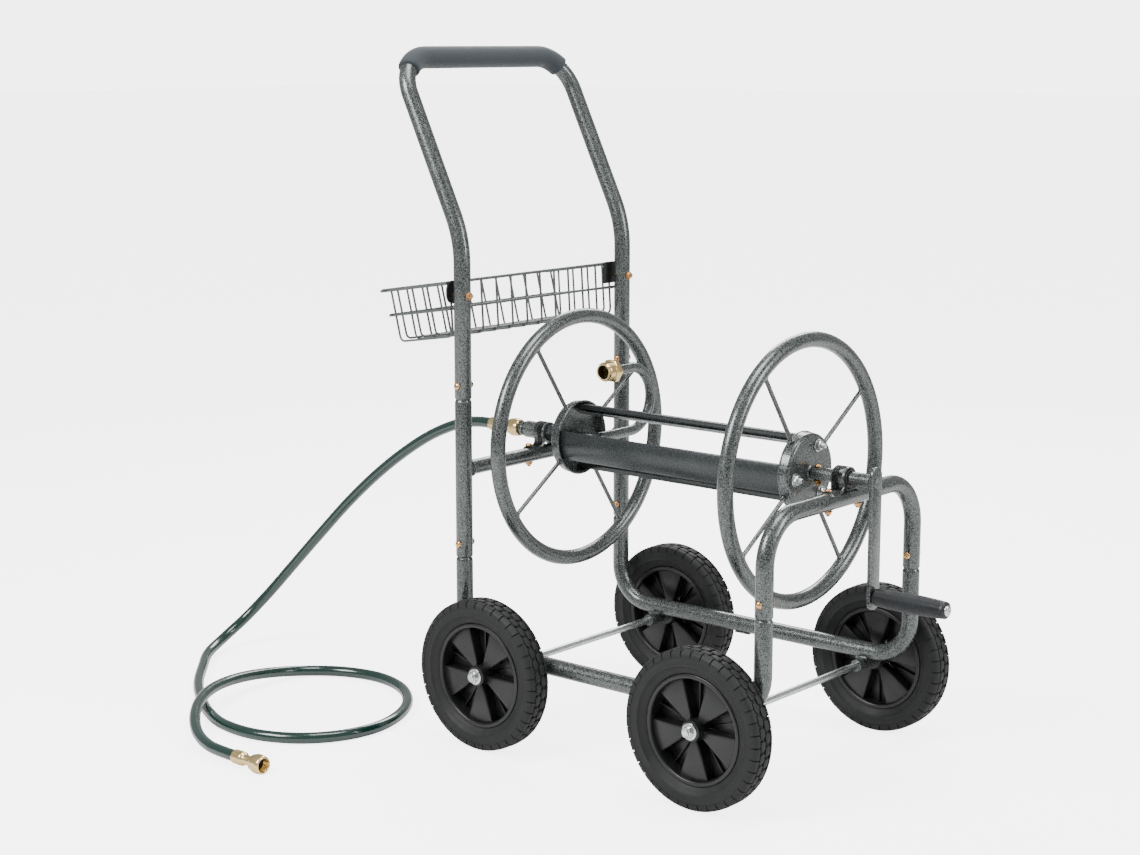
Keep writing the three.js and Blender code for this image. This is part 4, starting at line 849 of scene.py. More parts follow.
def add_bolts():
    for side, sign in SIDES:
        y = sign * HALF_WIDTH
        joints = (("upper", REAR_X, UPPER_JOINT), ("rear", REAR_X, LOWER_JOINT),
                  ("front", FRONT_X, LOWER_JOINT))
        for level, x, joint in joints:
            place = (x, y - TUBE, joint + BOLT_ABOVE_JOINT)
            make_piece(f"bolt_{level}_{side}", carriage_bolt(place, Y, 2 * TUBE), "gold", "cart",
                       (f"frame_bolt_{level}_{side}",))
        low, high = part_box(f"basket_bolt_{side}")
        grip = REAR_X + TUBE - (low.x + 0.0043)
        place = (REAR_X + TUBE - grip, y, middle(f"basket_bolt_{side}").z)
        shank = turned([(0, 0), (0.0030, 0), (0.0030, grip), (0, grip)], place, X, 20)
        make_piece(f"bolt_basket_{side}", [*carriage_bolt(place, X, grip), shank], "gold", "cart",
                   (f"basket_bolt_{side}",))
        for end in ("rear", "front"):
            low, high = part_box(f"strap_bolt_{end}_{side}")
            top = high.z - 0.0043
            grip = top - (low.z + 0.0083)
            place = (middle(f"strap_bolt_{end}_{side}").x, middle(f"strap_bolt_{end}_{side}").y, top)
            make_piece(f"bolt_strap_{end}_{side}", carriage_bolt(place, -Z, grip), "gold", "cart",
                       (f"strap_bolt_{end}_{side}",))
    place = (middle("crank_bolt").x, 0, REEL + SHAFT)
    make_piece("bolt_crank", carriage_bolt(place, -Z, 2 * SHAFT), "gold", "reel", ("crank_bolt",))


# ---------------------------------------------------------------- frame
def handle_corners():
    return [(REAR_X, -HALF_WIDTH, UPPER_JOINT), (REAR_X, -HALF_WIDTH, HANDLE_BEND_HEIGHT),
            (HANDLE_X, -HALF_WIDTH, HANDLE_HEIGHT), (HANDLE_X, HALF_WIDTH, HANDLE_HEIGHT),
            (REAR_X, HALF_WIDTH, HANDLE_BEND_HEIGHT), (REAR_X, HALF_WIDTH, UPPER_JOINT)]


def add_handle():
    bends = [RAKE_BEND, HANDLE_CORNER, HANDLE_CORNER, RAKE_BEND]
    tube = bent_tube(handle_corners(), bends, TUBE, 28, (OPEN_END, OPEN_END), step=4)
    make_piece("push_handle", [tube], "hammertone", "cart", ("handle_tube",))

    # The foam covers the bar and half of each corner, and its ends are a little rounded.
    rake = Vector((HANDLE_X - REAR_X, 0, HANDLE_HEIGHT - HANDLE_BEND_HEIGHT)).normalized()
    axis = rake.cross(Y)
    straight = HALF_WIDTH - HANDLE_CORNER
    foam = bmesh.new()
    ring = make_ring(foam, Vector((HANDLE_X, -straight, HANDLE_HEIGHT)), Y, FOAM, 32)
    for sign in (1, -1):
        end = ring
        if sign > 0:
            for _ in range(12):
                end = pull(foam, end, Y * (2 * straight / 12))
        centre = Vector((HANDLE_X, sign * straight, HANDLE_HEIGHT)) - rake * HANDLE_CORNER
        turn = math.radians(45)
        end = turn_ring(foam, end, centre, axis, sign * turn, 9)
        out = (Y * sign - rake).normalized()
        for shift, share in ((0.0016, 0.975), (0.0012, 0.93), (0.0004, 0.86)):
            end = pull(foam, end, out * shift)
            widen(foam, end, share)
        close_ring(foam, end)
    make_piece("handle_foam", [foam], "foam", "cart", ("handle_foam_grip",), crease=60)


def add_rear_frame():
    shapes = []
    for _, sign in SIDES:
        y = sign * HALF_WIDTH
        ends = (OPEN_END, SWAGED_END)
        shapes.append(bent_tube([(REAR_X, y, LOWER_JOINT), (REAR_X, y, UPPER_JOINT)], [], TUBE, 28, ends))
        shapes.append(weld_bead((REAR_X, y - sign * (TUBE - 0.0002), CROSS_HEIGHT), Y, CROSS_TUBE, 0.003))
    inset = HALF_WIDTH - TUBE / 2
    ends = [(REAR_X, -inset, CROSS_HEIGHT), (REAR_X, inset, CROSS_HEIGHT)]
    shapes.append(bent_tube(ends, [], CROSS_TUBE, 28))
    make_piece("rear_posts", shapes, "hammertone", "cart", ("rear_frame",))


def add_side_frames():
    for side, sign in SIDES:
        y = sign * HALF_WIDTH
        corners = [(REAR_X, y, LOWER_JOINT), (REAR_X, y, SIDE_HEIGHT),
                   (FRONT_X, y, SIDE_HEIGHT), (FRONT_X, y, LOWER_JOINT)]
        shapes = [bent_tube(corners, [SIDE_BEND] * 2, TUBE, 28, (SWAGED_END, SWAGED_END), step=4)]
        for end in ("rear", "front"):
            axle_x = JOINTS[f"wheel_{end}_{side}_spin"]["pos_m"][0]
            outer = sign * 0.228
            bore = AXLE + 0.0003
            profile = [(bore, 0), (SLEEVE - 0.0007, 0), (SLEEVE, 0.0007), (SLEEVE, SLEEVE_LENGTH - 0.0007),
                       (SLEEVE - 0.0007, SLEEVE_LENGTH), (bore, SLEEVE_LENGTH)]
            place = Vector((axle_x, outer, AXLE_HEIGHT))
            shapes.append(turned(profile, place, -sign * Y, 36, closed=True))
            # weld on both sides where the sleeve meets the tube above it
            for edge in (-1, 1):
                start = Vector((axle_x - 0.011, y + edge * 0.0085, AXLE_HEIGHT + 0.0105))
                finish = Vector((axle_x + 0.011, y + edge * 0.0085, AXLE_HEIGHT + 0.0105))
                shapes.append(bent_tube([start, finish], [], 0.0034, 10, (ROUNDED_END, ROUNDED_END)))
        if sign > 0:
            low = (REAR_X + 0.276 - 0.015, y - 0.008, SIDE_HEIGHT - TUBE - 0.0015)
            high = (REAR_X + 0.276 + 0.015, y + 0.008, SIDE_HEIGHT - TUBE + 0.0015)
            shapes.append(block(low, high))
        make_piece(f"side_tube_{side}", shapes, "hammertone", "cart", (f"side_frame_{side}",))


def add_arch():
    corners = [(FRONT_X, -HALF_WIDTH, LOWER_JOINT), (FRONT_X, -HALF_WIDTH, ARCH_HEIGHT),
               (FRONT_X, HALF_WIDTH, ARCH_HEIGHT), (FRONT_X, HALF_WIDTH, LOWER_JOINT)]
    tube = bent_tube(corners, [ARCH_BEND] * 2, TUBE, 28, (OPEN_END, OPEN_END), step=4)
    make_piece("front_arch_tube", [tube], "hammertone", "cart", ("front_arch",))


# ---------------------------------------------------------------- bearings
def bearing_strap(held, foot, tube, across):
    """A flat strap over a held piece, with feet that are pressed down round the tube below."""
    wrap = math.radians(35)
    inner = held + 0.0003
    outer = inner + STRAP
    drop = foot - REEL
    toe = 0.050
    neck_out = outer * math.cos(wrap)
    neck_in = inner * math.cos(wrap)
    feet = 7
    runs = [(neck_out + 0.0022, drop + STRAP)]
    runs += [(neck_out + (toe - neck_out) * i / feet, drop + STRAP) for i in range(1, feet + 1)]
    runs += [(neck_in + (toe - neck_in) * (feet - i) / feet, drop) for i in range(feet)]
    runs += [(neck_in, drop), (neck_in, -inner * math.sin(wrap)),
             ((0, 0), 180 + 2 * 35, 28), (-neck_in, drop)]
    runs += [(-neck_in - (toe - neck_in) * i / feet, drop) for i in range(1, feet + 1)]
    runs += [(-toe, drop + STRAP)]
    runs += [(-neck_out - (toe - neck_out) * (feet - i) / feet, drop + STRAP) for i in range(1, feet)]
    runs += [(-neck_out - 0.0022, drop + STRAP), (-neck_out, drop + STRAP + 0.0022),
             (-neck_out, -outer * math.sin(wrap)), ((0, 0), -(180 + 2 * 35), 28),
             (neck_out, drop + STRAP + 0.0022)]
    shape = bmesh.new()
    outline(shape, runs)
    bmesh.ops.contextual_create(shape, geom=shape.edges[:])
    ring = shape.faces[:]
    width = STRAP_WIDTH
    steps = 8
    for i in range(steps):
        made = bmesh.ops.extrude_face_region(shape, geom=ring, use_keep_orig=i == 0)["geom"]
        ring = [item for item in made if isinstance(item, bmesh.types.BMFace)]
        new = [item for item in made if isinstance(item, bmesh.types.BMVert)]
        bmesh.ops.translate(shape, verts=new, vec=(0, 0, width / steps))
    bmesh.ops.transform(shape, verts=shape.verts, matrix=facing((-width / 2, 0, 0), Y, Z))
    bmesh.ops.recalc_face_normals(shape, faces=shape.faces)
    soften(shape, sharp_edges(shape, 60), 0.0005, 1)
    for point in shape.verts:
        reach = abs(point.co.y)
        press = min(1.0, max(0.0, (reach - neck_out) / 0.012))
        off = abs(point.co.x)
        fall = tube - math.sqrt(max(0.0, tube ** 2 - off ** 2))
        toe_curl = max(0.0, reach - toe + 0.004) * 0.5
        point.co.z -= fall * press + toe_curl * press
        # the feet's outer corners are cut round
        corner = max(0.0, reach - toe + 0.007) / 0.007
        if corner:
            point.co.x *= 1 - 0.35 * corner ** 2
    bmesh.ops.translate(shape, verts=shape.verts, vec=(across, 0, REEL))
    return shape


def add_bearings():
    swivel_x = middle("bearing_strap_rear").x
    rear = bearing_strap(0.0145, CROSS_HEIGHT + CROSS_TUBE + 0.0003, CROSS_TUBE, swivel_x)
    make_piece("strap_rear", [rear], "hammertone", "cart", ("bearing_strap_rear",))
    front = bearing_strap(0.0150, ARCH_HEIGHT + TUBE + 0.0003, TUBE, FRONT_X)
    make_piece("strap_front", [front], "hammertone", "cart", ("bearing_strap_front",))
    bore = SHAFT + 0.0004
    profile = [(bore, -0.015), (0.0144, -0.015), (0.0150, -0.0144), (0.0150, 0.0144), (0.0144, 0.015),
               (bore, 0.015)]
    bush = turned(profile, (FRONT_X, 0, REEL), X, 40, closed=True)
    legs = []
    for sign in (-1, 1):
        reach = sorted((sign * 0.0112, sign * 0.0122))
        low = (FRONT_X - 0.015, min(reach) - 0.0006, ARCH_HEIGHT + TUBE + 0.0004)
        high = (FRONT_X + 0.015, max(reach) + 0.0002, REEL - 0.006)
        legs.append(block(low, high, 0.0004))
    low = (FRONT_X - 0.015, -0.0112, ARCH_HEIGHT + TUBE + 0.0004)
    high = (FRONT_X + 0.015, 0.0112, ARCH_HEIGHT + TUBE + 0.0034)
    legs.append(block(low, high, 0.0004))
    make_piece("shaft_bush", [bush, *legs], "plastic", "cart", ("front_bush",))


# ---------------------------------------------------------------- wheels
def tread_block():
    """One block of the tyre's middle rows, pointed at both ends, at the top of the tyre."""
    points = [(0.0009, -0.0052), (0.0058, -0.0088), (0.0113, -0.0060), (0.0113, 0.0060), (0.0058, 0.0088),
              (0.0009, 0.0052)]
    return flat_plate(points, 0.0045, facing((0, 0, TYRE - 0.0046), Y, -X), 0.0007)


def shoulder_block():
    """One block of the tyre's edge, carried a little way round the axle."""
    section = [(0.1130, 0.0195), (0.1134, 0.0222), (0.1162, 0.0224), (0.1196, 0.0216), (0.1224, 0.0197),
               (0.1241, 0.0168), (0.1246, 0.0132), (0.1200, 0.0130), (0.1170, 0.0165)]
    shape = bmesh.new()
    points = [shape.verts.new((0, height, radius)) for radius, height in section]
    edges = [shape.edges.new(pair) for pair in zip(points, points[1:] + points[:1])]
    bmesh.ops.contextual_create(shape, geom=edges)
    made = bmesh.ops.spin(shape, geom=points + edges, cent=(0, 0, 0), axis=Y, angle=math.radians(8.0),
                          steps=2, use_duplicate=False)
    last = [item for item in made["geom_last"] if isinstance(item, bmesh.types.BMVert)]
    close_ring(shape, last)
    bmesh.ops.recalc_face_normals(shape, faces=shape.faces)
    return shape


def tyre_shape():
    side = [(0.0868, 0.0134), (0.0884, 0.0150), (0.0930, 0.0172), (0.0970, 0.0196), (0.0984, 0.0208),
            (0.0994, 0.0219), (0.1012, 0.0223), (0.1026, 0.0217), (0.1080, 0.0219), (0.1128, 0.0219),
            (0.1140, 0.0212), (0.1172, 0.0206), (0.1202, 0.0182), (0.1220, 0.0140), (0.1224, 0.0060)]
    mirrored = [(radius, -height) for radius, height in reversed(side)]
    body = turned([*side, *mirrored], (0, 0, 0), Y, 80, closed=True)
    shapes = [body]
    half_pitch = Matrix.Rotation(math.pi / TREAD_PITCHES, 4, "Y")
    across = Matrix.Rotation(math.pi, 4, "Z")
    for shape in (tread_block(), shoulder_block()):
        twin = copied(shape, across)
        if len(shapes) < 3:
            bmesh.ops.transform(twin, verts=twin.verts, matrix=half_pitch)
        for item in (shape, twin):
            shapes.append(repeated(item, TREAD_PITCHES, "Y"))
    return shapes


def blade_shape(inner, outer, half_angle, low, high, turn, bevel):
    """A wedge of the hub's face, between two radii."""
    def corner(radius, angle):
        return (radius * math.cos(angle), radius * math.sin(angle))

    narrow = half_angle * 0.80
    degrees = math.degrees(half_angle)
    runs = [corner(inner, -narrow), corner(outer, -half_angle), ((0, 0), 2 * degrees, 10),
            corner(inner, narrow), ((0, 0), -2 * degrees * 0.80, 5)]
    right = (math.cos(turn), 0, -math.sin(turn))
    up = (-math.sin(turn), 0, -math.cos(turn))
    return flat_plate(runs, high - low, facing((0, low, 0), right, up), bevel)


def hub_shapes():
    """A wheel's hub with its outer side towards +Y: a boss and a rim, joined by a disc folded into wedges."""
    boss = [(0.0066, 0.0200), (0.0148, 0.0200), (0.0164, 0.0192), (0.0170, 0.0176), (0.0176, -0.0100),
            (0.0176, -0.0140), (0.0170, -0.0236), (0.0162, -0.0246), (0.0066, -0.0246)]
    edge = [(0.0780, 0.0060), (0.0790, 0.0110), (0.0796, 0.0142), (0.0804, 0.0152), (0.0820, 0.0158),
            (0.0848, 0.0158), (0.0862, 0.0149), (0.0864, 0.0130)]
    rim = [*edge, *((radius, -height) for radius, height in reversed(edge))]
    shapes = [turned(boss, (0, 0, 0), Y, 64, closed=True), turned(rim, (0, 0, 0), Y, 96, closed=True)]
    wide = math.radians(19)
    narrow = math.radians(180 / BLADES) - wide
    for i in range(BLADES):
        turn = math.radians(18 + i * 360 / BLADES)
        between = turn + math.radians(180 / BLADES)
        shapes.append(blade_shape(0.0165, 0.0788, wide, 0.0062, 0.0092, turn, 0.0011))
        wider = narrow + math.radians(1)
        shapes.append(blade_shape(0.0165, 0.0788, wider, -0.0122, -0.0094, between, 0.0009))
        for side in (-1, 1):
            wall = turn + side * (wide - math.radians(0.7))
            shapes.append(blade_shape(0.0165, 0.0788, math.radians(0.9), -0.0116, 0.0080, wall, 0.0003))
        shapes.append(blade_shape(0.0165, 0.0782, math.radians(1.1), -0.0096, -0.0040, between, 0.0005))
        shapes.append(blade_shape(0.0165, 0.0782, math.radians(1.1), 0.0010, 0.0064, turn, 0.0005))
    return shapes


def axle_nut_shapes():
    """The washer, lock nut and its collar, along Y from the washer's inner face."""
    washer = turned([(0.0064, 0), (0.0126, 0), (0.0130, 0.0004), (0.0130, 0.0013), (0.0126, 0.0016),
                     (0.0064, 0.0016)], (0, 0, 0), Y, 48, closed=True)
    collar = turned([(0.0064, 0.0070), (0.0086, 0.0070), (0.0086, 0.0084), (0.0078, 0.0094),
                     (0.0066, 0.0096)], (0, 0, 0), Y, 36, closed=True)
    return [washer, hex_nut((0, 0.0015, 0), Y, 0.0098, 0.0062, 0.0012), collar]


def add_wheels():
    tyre, hub, nut = tyre_shape(), hub_shapes(), axle_nut_shapes()
    for end in ("rear", "front"):
        axle_x = JOINTS[f"wheel_{end}_near_spin"]["pos_m"][0]
        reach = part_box(f"axle_{end}")[1].y
        profile = [(0, -reach), (AXLE - 0.0009, -reach), (AXLE, -reach + 0.0009), (AXLE, reach - 0.0009),
                   (AXLE - 0.0009, reach), (0, reach)]
        rod = turned(profile, (axle_x, 0, AXLE_HEIGHT), Y, 32)
        make_piece(f"rod_{end}", [rod], "zinc", "cart", (f"axle_{end}",))
    for end, side, sign in WHEELS:
        place = Vector(JOINTS[f"wheel_{end}_{side}_spin"]["pos_m"])
        turn = Matrix.Rotation(0 if sign > 0 else math.pi, 4, "Z")
        put = Matrix.Translation(place) @ turn
        body = f"wheel_{end}_{side}"
        name = f"{end}_{side}"
        make_piece(f"wheel_tyre_{name}", [copied(shape, put) for shape in tyre], "rubber", body,
                   (f"tyre_{name}",), crease=30)
        make_piece(f"hub_{name}", [copied(shape, put) for shape in hub], "plastic", body,
                   (f"wheel_hub_{name}",))
        low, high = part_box(f"axle_nut_{name}")
        start = low.y if sign > 0 else high.y
        put = Matrix.Translation((place.x, start, place.z)) @ turn
        make_piece(f"lock_nut_{name}", [copied(shape, put) for shape in nut], "zinc", NUT_BODY[name],
                   (f"axle_nut_{name}",))


# ---------------------------------------------------------------- reel
def reel_place(x, radius, angle):
    return Vector((x, radius * math.cos(angle), REEL + radius * math.sin(angle)))


def add_hoop(end, x):
    section = arc((HOOP, 0), HOOP_TUBE, 0, 360 - 15, 23)
    shapes = [turned(section, (x, 0, REEL), X, 120, closed=True)]
    for i in range(SPOKES):
        angle = SPOKE_START + i * math.tau / SPOKES
        out = reel_place(0, 1, angle) - Vector((0, 0, REEL))
        inner = reel_place(x, DISH + 0.0002, angle)
        outer = reel_place(x, HOOP - HOOP_TUBE + 0.003, angle)
        shapes.append(bent_tube([inner, outer], [], SPOKE, 16))
        shapes.append(weld_bead(inner + out * 0.0012, out, SPOKE, 0.0021, 20, 3))
        shapes.append(weld_bead(outer - out * 0.0032, out, SPOKE, 0.0022, 20, 3))
    make_piece(f"hoop_{end}", shapes, "hammertone", "reel", (f"reel_hoop_{end}",))


def dish_profile(hole):
    """A pressed dish from its face inwards along its depth, with a rolled edge."""
    r = DISH
    lip = arc((r - 0.0017, DISH_DEPTH - 0.0017), 0.0020, -60, 190, 9)
    outside = [(hole, 0), (r - 0.0072, 0), *arc((r - 0.0072, 0.0055), 0.0055, -78, 0, 6)]
    inside = [(r - 0.0042, DISH_DEPTH - 0.0022), (r - 0.0042, 0.0066), (r - 0.0052, 0.0038),
              (r - 0.0078, DISH_WALL), (hole, DISH_WALL)]
    return [*outside, *lip, *inside]


def add_dishes():
    hole = PIPE + 0.0003
    rear = turned(dish_profile(hole), (DISH_REAR_X, 0, REEL), X, 72, closed=True)
    collar = weld_bead((DISH_REAR_X + DISH_WALL, 0, REEL), X, PIPE, 0.0028, 40, 9)
    front_bead = weld_bead((DISH_REAR_X, 0, REEL), X, PIPE, 0.0028, 40, 7)
    make_piece("dish_rear", [rear, collar, front_bead], "hammertone", "reel", ("reel_dish_rear",))

    front = turned(dish_profile(0.004), (DISH_FRONT_X, 0, REEL), -X, 72, closed=True)
    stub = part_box("reel_dish_front")[1].x - DISH_FRONT_X
    profile = [(0, -0.006), (0.0072, -0.006), (0.0080, -0.0052), (0.0080, stub - 0.001),
               (0.0070, stub), (0, stub)]
    shaft = turned(profile, (DISH_FRONT_X, 0, REEL), X, 32)
    bead = weld_bead((DISH_FRONT_X + 0.0006, 0, REEL), X, 0.0086, 0.0032, 40, 5)
    make_piece("dish_front", [front, shaft, bead], "hammertone", "reel", ("reel_dish_front",))


def add_drum():
    start = DISH_REAR_X + DISH_WALL + 0.0003
    length = DISH_FRONT_X - DISH_WALL - 0.0003 - start
    half = PLATE_HALF_ANGLE
    wall = 0.002
    inset = wall / PLATE

    def corner(radius, angle):
        return (radius * math.cos(angle), radius * math.sin(angle))

    lip = PLATE - PLATE_LIP
    degrees = math.degrees(half)
    less = math.degrees(half - inset)
    runs = [corner(lip, -half), corner(PLATE, -half), ((0, 0), 2 * degrees, 18), corner(lip, half),
            corner(lip, half - inset), corner(PLATE - wall, half - inset), ((0, 0), -2 * less, 18),
            corner(lip, inset - half)]
    for i in range(3):
        angle = math.atan2(middle(f"tie_rod_{i + 1}").z - REEL, middle(f"tie_rod_{i + 1}").y)
        right = reel_place(0, 1, angle) - Vector((0, 0, REEL))
        plate = flat_plate(runs, length, facing((start, 0, REEL), right, X.cross(right)), 0.0005)
        make_piece(f"drum_{i + 1}", [plate], "smooth_paint", "reel", (f"drum_plate_{i + 1}",))

        radius = (Vector((0, middle(f"tie_rod_{i + 1}").y, middle(f"tie_rod_{i + 1}").z - REEL))).length
        head_place = reel_place(DISH_REAR_X - 0.0003, radius, angle)
        dome = [(0.0085 * math.cos(t), -0.0012 - 0.0058 * math.sin(t))
                for t in (math.radians(value) for value in range(90, -1, -15))]
        head = turned([*dome, (0.0085, 0), (0, 0)], head_place, X, 36)
        grip = DISH_FRONT_X - DISH_REAR_X + 0.0006
        rod = turned([(0, -0.001), (0.0040, -0.001), (0.0040, grip), (0, grip)], head_place, X, 20)
        end = head_place + X * grip
        washer = turned([(0, 0), (0.0100, 0), (0.0104, 0.0004), (0.0104, 0.0012), (0.0100, 0.0016),
                         (0, 0.0016)], end, X, 40)
        nut = hex_nut(end + X * 0.0015, X, 0.0085, 0.0056, 0.0010)
        tip = turned([(0, 0), *screw_thread(0.0040, 0.0004, 0.0070, 0.0012, 0.0005), (0.0033, 0.0076),
                      (0, 0.0078)], end + X * 0.0068, X, 24)
        make_piece(f"tie_{i + 1}", [head, rod, washer, nut, tip], "zinc", "reel", (f"tie_rod_{i + 1}",))


def add_water_way():
    low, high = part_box("swivel_body")
    step = 0.032
    back, front = low.x, high.x
    rings = []
    for x in (back + 0.0015, back + 0.0040, back + 0.0065, back + 0.0090):
        rings += [(0.0098, x - 0.0010 - back), (0.0105, x - 0.0004 - back), (0.0105, x + 0.0004 - back),
                  (0.0098, x + 0.0010 - back)]
    length = front - back
    profile = [(0.0060, 0), (0.0094, 0), *rings, (0.0098, 0.0120), (0.0105, 0.0126), (0.0105, 0.0210),
               (0.0120, 0.0216), (0.0124, 0.0222), (0.0124, 0.0268), (0.0120, 0.0276), (0.0105, 0.0282),
               (0.0105, step - 0.0012), (0.0112, step - 0.0002), (0.0135, step), (0.0145, step + 0.0010),
               (0.0145, length - 0.0010), (0.0137, length), (0.0088, length), (0.0088, length - 0.012),
               (0.0060, length - 0.014)]
    body = turned(profile, (back, 0, REEL), X, 56, closed=True)
    make_piece("swivel", [body], "hammertone", "cart", ("swivel_body",))

    low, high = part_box("swivel_stem")
    hex_start = high.x - 0.026
    profile = [(0.0060, 0), (0.0078, 0), (0.0080, 0.0004), (0.0080, hex_start - low.x + 0.001),
               (0.0060, hex_start - low.x + 0.001)]
    journal = turned(profile, (low.x, 0, REEL), X, 40, closed=True)
    nut = hex_nut((hex_start, 0, REEL), X, 0.0155, 0.0255, 0.0016)
    groove = turned([(0.0060, 0), (0.0150, 0), (0.0150, 0.0022), (0.0060, 0.0022)],
                    (hex_start - 0.0020, 0, REEL), X, 40, closed=True)
    make_piece("stem", [journal, nut, groove], "smooth_paint", "reel", ("swivel_stem",))

    rise = OUTLET_HEIGHT - REEL
    outlet = middle("outlet_fitting")
    outlet_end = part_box("outlet_fitting")[1].y + 0.0003
    corners = [(high.x - 0.001, 0, REEL), (PIPE_X, 0, REEL), (PIPE_X, PIPE_REACH, REEL),
               (PIPE_X, PIPE_REACH, OUTLET_HEIGHT), (PIPE_X, outlet_end - 0.002, OUTLET_HEIGHT)]
    pipe = bent_tube(corners, [PIPE_ELBOW, rise / 2 - 0.0001, rise / 2 - 0.0001], PIPE, 28, step=4)
    bead = weld_bead((PIPE_X, outlet_end + 0.0004, OUTLET_HEIGHT), Y, PIPE, 0.0020, 32, 5)
    make_piece("gooseneck", [pipe, bead], "hammertone", "reel", ("gooseneck_pipe",))

    low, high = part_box("outlet_fitting")
    thread_end = high.y - low.y
    hex_height = 0.012
    threads = screw_thread(0.0165, hex_height + 0.0022, thread_end - 0.0034, 0.0020, 0.0011)
    profile = [(0.0090, hex_height - 0.002), (0.0150, hex_height - 0.002), (0.0150, hex_height + 0.0018),
               *threads, (0.0152, thread_end - 0.0026), (0.0141, thread_end), (0.0119, thread_end),
               (0.0115, thread_end - 0.0006), (0.0115, 0.0060), (0.0090, 0.0055)]
    start = (outlet.x, high.y, outlet.z)
    tube = turned(profile, start, -Y, 48, closed=True)
    nut = turned([(0.0090, 0), (0.0186, 0), (0.0205, 0.0012), (0.0205, hex_height - 0.0012),
                  (0.0186, hex_height), (0.0090, hex_height)], start, -Y, 6, closed=True)
    # A dark brass cup just inside the outlet's bore: painted shade for the inside of the bore.
    bore_shade = turned([(0, 0.0062), (0.0113, 0.0062), (0.0113, thread_end - 0.0010),
                     (0.0108, thread_end - 0.0010), (0.0108, 0.0076), (0, 0.0076)], start, -Y, 40)
    make_piece("outlet_bore_shade", [bore_shade], "bore_shade_brass", "reel")
    make_piece("outlet", [tube, nut], "brass", "reel", ("outlet_fitting",))


# ---------------------------------------------------------------- crank
def add_crank():
    low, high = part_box("crank_handle")
    start = low.x
    profile = [(0.0084, 0), (SHAFT - 0.0008, 0), (SHAFT, 0.0008), (SHAFT, ARM_X - start + 0.001),
               (0.0084, ARM_X - start + 0.001)]
    shaft = turned(profile, (start, 0, REEL), X, 44, closed=True)
    top = high.z - REEL
    bottom = low.z - REEL
    half = high.y
    runs = [(half, bottom + half), (half, top - half), ((0, top - half), 180, 16),
            (-half, bottom + half), ((0, bottom + half), 180, 16)]
    arm = flat_plate(runs, 0.006, facing((ARM_X, 0, REEL), Y, Z), 0.0010)
    bead = weld_bead((ARM_X - 0.0006, 0, REEL), X, SHAFT, 0.0030, 48, 7)
    # the flattened weld that closes the shaft's end in the arm's outer face
    plug = turned([(0.0108, 0), (0.0104, 0.0009), (0.0085, 0.0014), (0.0060, 0.0010), (0, 0.0008)],
                  (ARM_X + 0.0058, 0, REEL), X, 32)
    bmesh.ops.contextual_create(plug, geom=[edge for edge in plug.edges if edge.is_boundary])
    bmesh.ops.scale(plug, verts=plug.verts, vec=(1, 0.72, 1))
    pin_end = high.x
    pin = turned([(0, 0), (0.0040, 0), (0.0040, pin_end - ARM_X - 0.005), (0, pin_end - ARM_X - 0.005)],
                 (ARM_X + 0.005, 0, GRIP), X, 24)
    make_piece("crank", [shaft, arm, bead, plug, pin], "hammertone", "reel", ("crank_handle",))

    low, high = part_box("crank_grip")
    length = high.x - low.x
    profile = [(0.0045, 0), (0.0105, 0), (0.0120, 0.0008), (0.0124, 0.0022)]
    ribs = 42
    first, last = 0.0030, length - 0.0050
    for i in range(ribs):
        for share, depth in ((0.0, 0.0005), (0.3, 0.0), (0.7, 0.0)):
            height = first + (last - first) * (i + share) / ribs
            swell = math.sin(math.pi * min(1.0, height / length * 0.95 + 0.03))
            profile.append((0.0128 + 0.0027 * swell ** 0.7 - depth, height))
    profile += [(0.0132, length - 0.0042), (0.0134, length - 0.0030), (0.0130, length - 0.0008),
                (0.0118, length), (0.0045, length)]
    grip = turned(profile, (low.x, 0, GRIP), X, 40, closed=True)
    make_piece("grip", [grip], "grip", "crank_grip", ("crank_grip",), crease=50)

    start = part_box("grip_end_screw")[0].x
    profile = [(0, 0), (0.0080, 0), (0.0085, 0.0006), (0.0085, 0.0016), (0.0080, 0.0027), (0.0066, 0.0035),
               (0.0040, 0.0039), (0.0036, 0.0036), (0.0034, 0.0022), (0, 0.0020)]
    screw = turned(profile, (start, 0, GRIP), X, 36)
    make_piece("end_screw", [screw], "zinc", "reel", ("grip_end_screw",))


# ---------------------------------------------------------------- basket
def basket_bracket(sign, back):
    """A bracket plate, rounded at its outer end round the bolt, in the plane across the cart."""
    half, width, thickness = 0.019, 0.041, 0.003
    outer, inner = 0.015, 0.003
    runs = [(0.0, -half + outer), ((outer, -half + outer), 90, 8), (width - inner, -half),
            ((width - inner, -half + inner), 90, 4), (width, half - inner),
            ((width - inner, half - inner), 90, 4), (outer, half), ((outer, half - outer), 90, 8)]
    face = back + 0.0002 + (thickness if sign > 0 else 0)
    edge = sign * (BASKET_WIDTH / 2 + 0.008)
    return flat_plate(runs, thickness, facing((face, edge, BASKET_RIM - half), Y * -sign, Z), 0.0005)


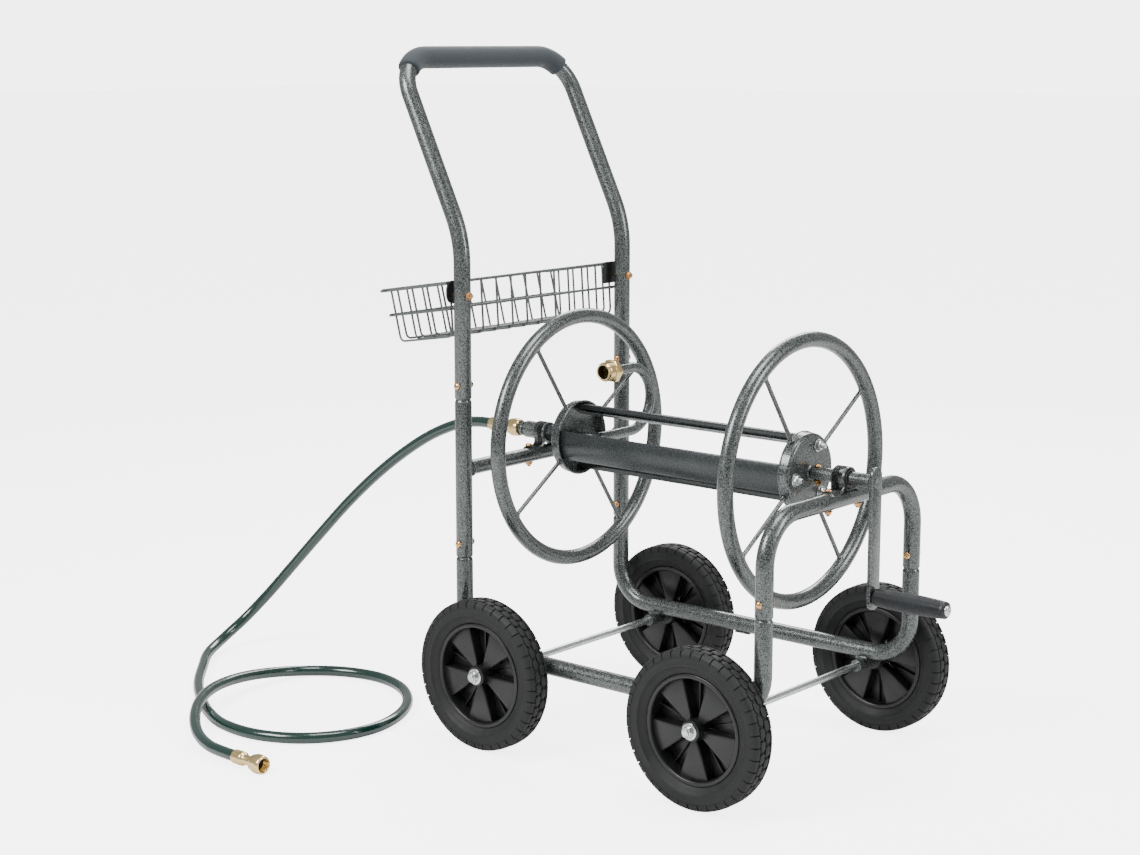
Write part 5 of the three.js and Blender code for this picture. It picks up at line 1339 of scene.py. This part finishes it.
def add_basket():
    turn = Matrix.Rotation(-BASKET_TILT, 4, "Y")
    back = REAR_X - BASKET_SETBACK
    hang = Matrix.Translation((back, 0, BASKET_RIM)) @ turn
    half = BASKET_WIDTH / 2
    floor = -BASKET_HEIGHT + WIRE + 0.001
    fine = dict(radius=WIRE, sides=10, ends=(ROUNDED_END, ROUNDED_END), step=15)
    inset = 2 * RAIL + WIRE

    def lean(height):
        return BASKET_TAPER * -height / BASKET_HEIGHT

    shapes = []
    count = 12
    for i in range(count):
        y = -half + 0.0095 + (2 * half - 0.019) * i / (count - 1)
        low = lean(floor)
        corners = [(-inset, y, -0.0008), (-inset - low, y, floor), (-BASKET_DEPTH + inset + low, y, floor),
                   (-BASKET_DEPTH + inset, y, -0.0008)]
        shapes.append(bent_tube(corners, [0.010] * 2, **fine))
    rows = 4
    for i in range(rows):
        x = -0.0245 - (BASKET_DEPTH - 0.049) * i / (rows - 1)
        low = lean(floor)
        level = floor + 2 * WIRE
        corners = [(x, -half + inset, -0.0008), (x, -half + inset + low, level),
                   (x, half - inset - low, level), (x, half - inset, -0.0008)]
        shapes.append(bent_tube(corners, [0.010] * 2, **fine))
    thick = dict(radius=RAIL, sides=12, ends=(ROUNDED_END, ROUNDED_END))
    for height, radius, past in ((-0.003, RAIL, 0.011), (-0.045, RAIL * 0.85, 0.006)):
        thick["radius"] = radius
        shift = lean(height)
        for x in (-RAIL - shift, -BASKET_DEPTH + RAIL + shift):
            reach = half - shift + past * 0.7
            shapes.append(bent_tube([(x, -reach, height), (x, reach, height)], [], **thick))
        for y in (-half + RAIL + shift, half - RAIL - shift):
            level = height - 0.0012
            front = 0.001 - shift
            rear = -BASKET_DEPTH + shift - past
            shapes.append(bent_tube([(front, y, level), (rear, y, level)], [], **thick))
    for shape in shapes:
        bmesh.ops.transform(shape, verts=shape.verts, matrix=hang)
    make_piece("basket_wires", shapes, "wire", "cart", ("wire_basket",), crease=50)

    for side, sign in SIDES:
        make_piece(f"basket_bracket_{side}", [basket_bracket(sign, back)], "black_paint", "cart")


# ---------------------------------------------------------------- making
BASKET_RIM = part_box("wire_basket")[1].z
CROSS_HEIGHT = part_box("bearing_strap_rear")[0].z - CROSS_TUBE - 0.0003
NUT_BODY = {f"{end}_{side}": "cart" for end, side, sign in WHEELS}

add_camera()
add_studio()

inlet_start = Vector((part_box("inlet_ferrule")[0].x, 0, REEL))
end_place = Vector(JOINTS["tap_coupling_spin"]["pos_m"])
end_along = Vector(JOINTS["tap_coupling_spin"]["axis"]).normalized()
NUT_FROM = 0.0437

hose = add_hose()
fittings = [
    make_piece("ferrule_inlet", [ferrule(inlet_start, X)], "brass", "cart", ("inlet_ferrule",)),
    make_piece("coupling_inlet", [coupling_nut(inlet_start, X, NUT_FROM)], "brass", "cart",
               ("inlet_coupling_nut",)),
    make_piece("ferrule_end", [ferrule(end_place, end_along)], "brass", "cart", ("end_ferrule",)),
    make_piece("coupling_end", [coupling_nut(end_place, end_along, NUT_FROM)], "brass", "tap_coupling",
               ("end_coupling_nut",)),
]
seal_profile = [(0.0056, 0.0524), (0.0100, 0.0524), (0.0102, 0.0528), (0.0102, 0.0548), (0.0098, 0.0553),
                (0.0064, 0.0553), (0.0056, 0.0546)]
seal = turned(seal_profile, end_place, end_along, 40, closed=True)
fittings.append(make_piece("washer_end", [seal], "seal", "tap_coupling", ("end_seal",)))

add_handle()
add_rear_frame()
add_side_frames()
add_arch()
add_bolts()
add_wheels()
add_bearings()
add_hoop("rear", middle("reel_hoop_rear").x)
add_hoop("front", middle("reel_hoop_front").x)
add_dishes()
add_drum()
add_water_way()
add_crank()
add_basket()
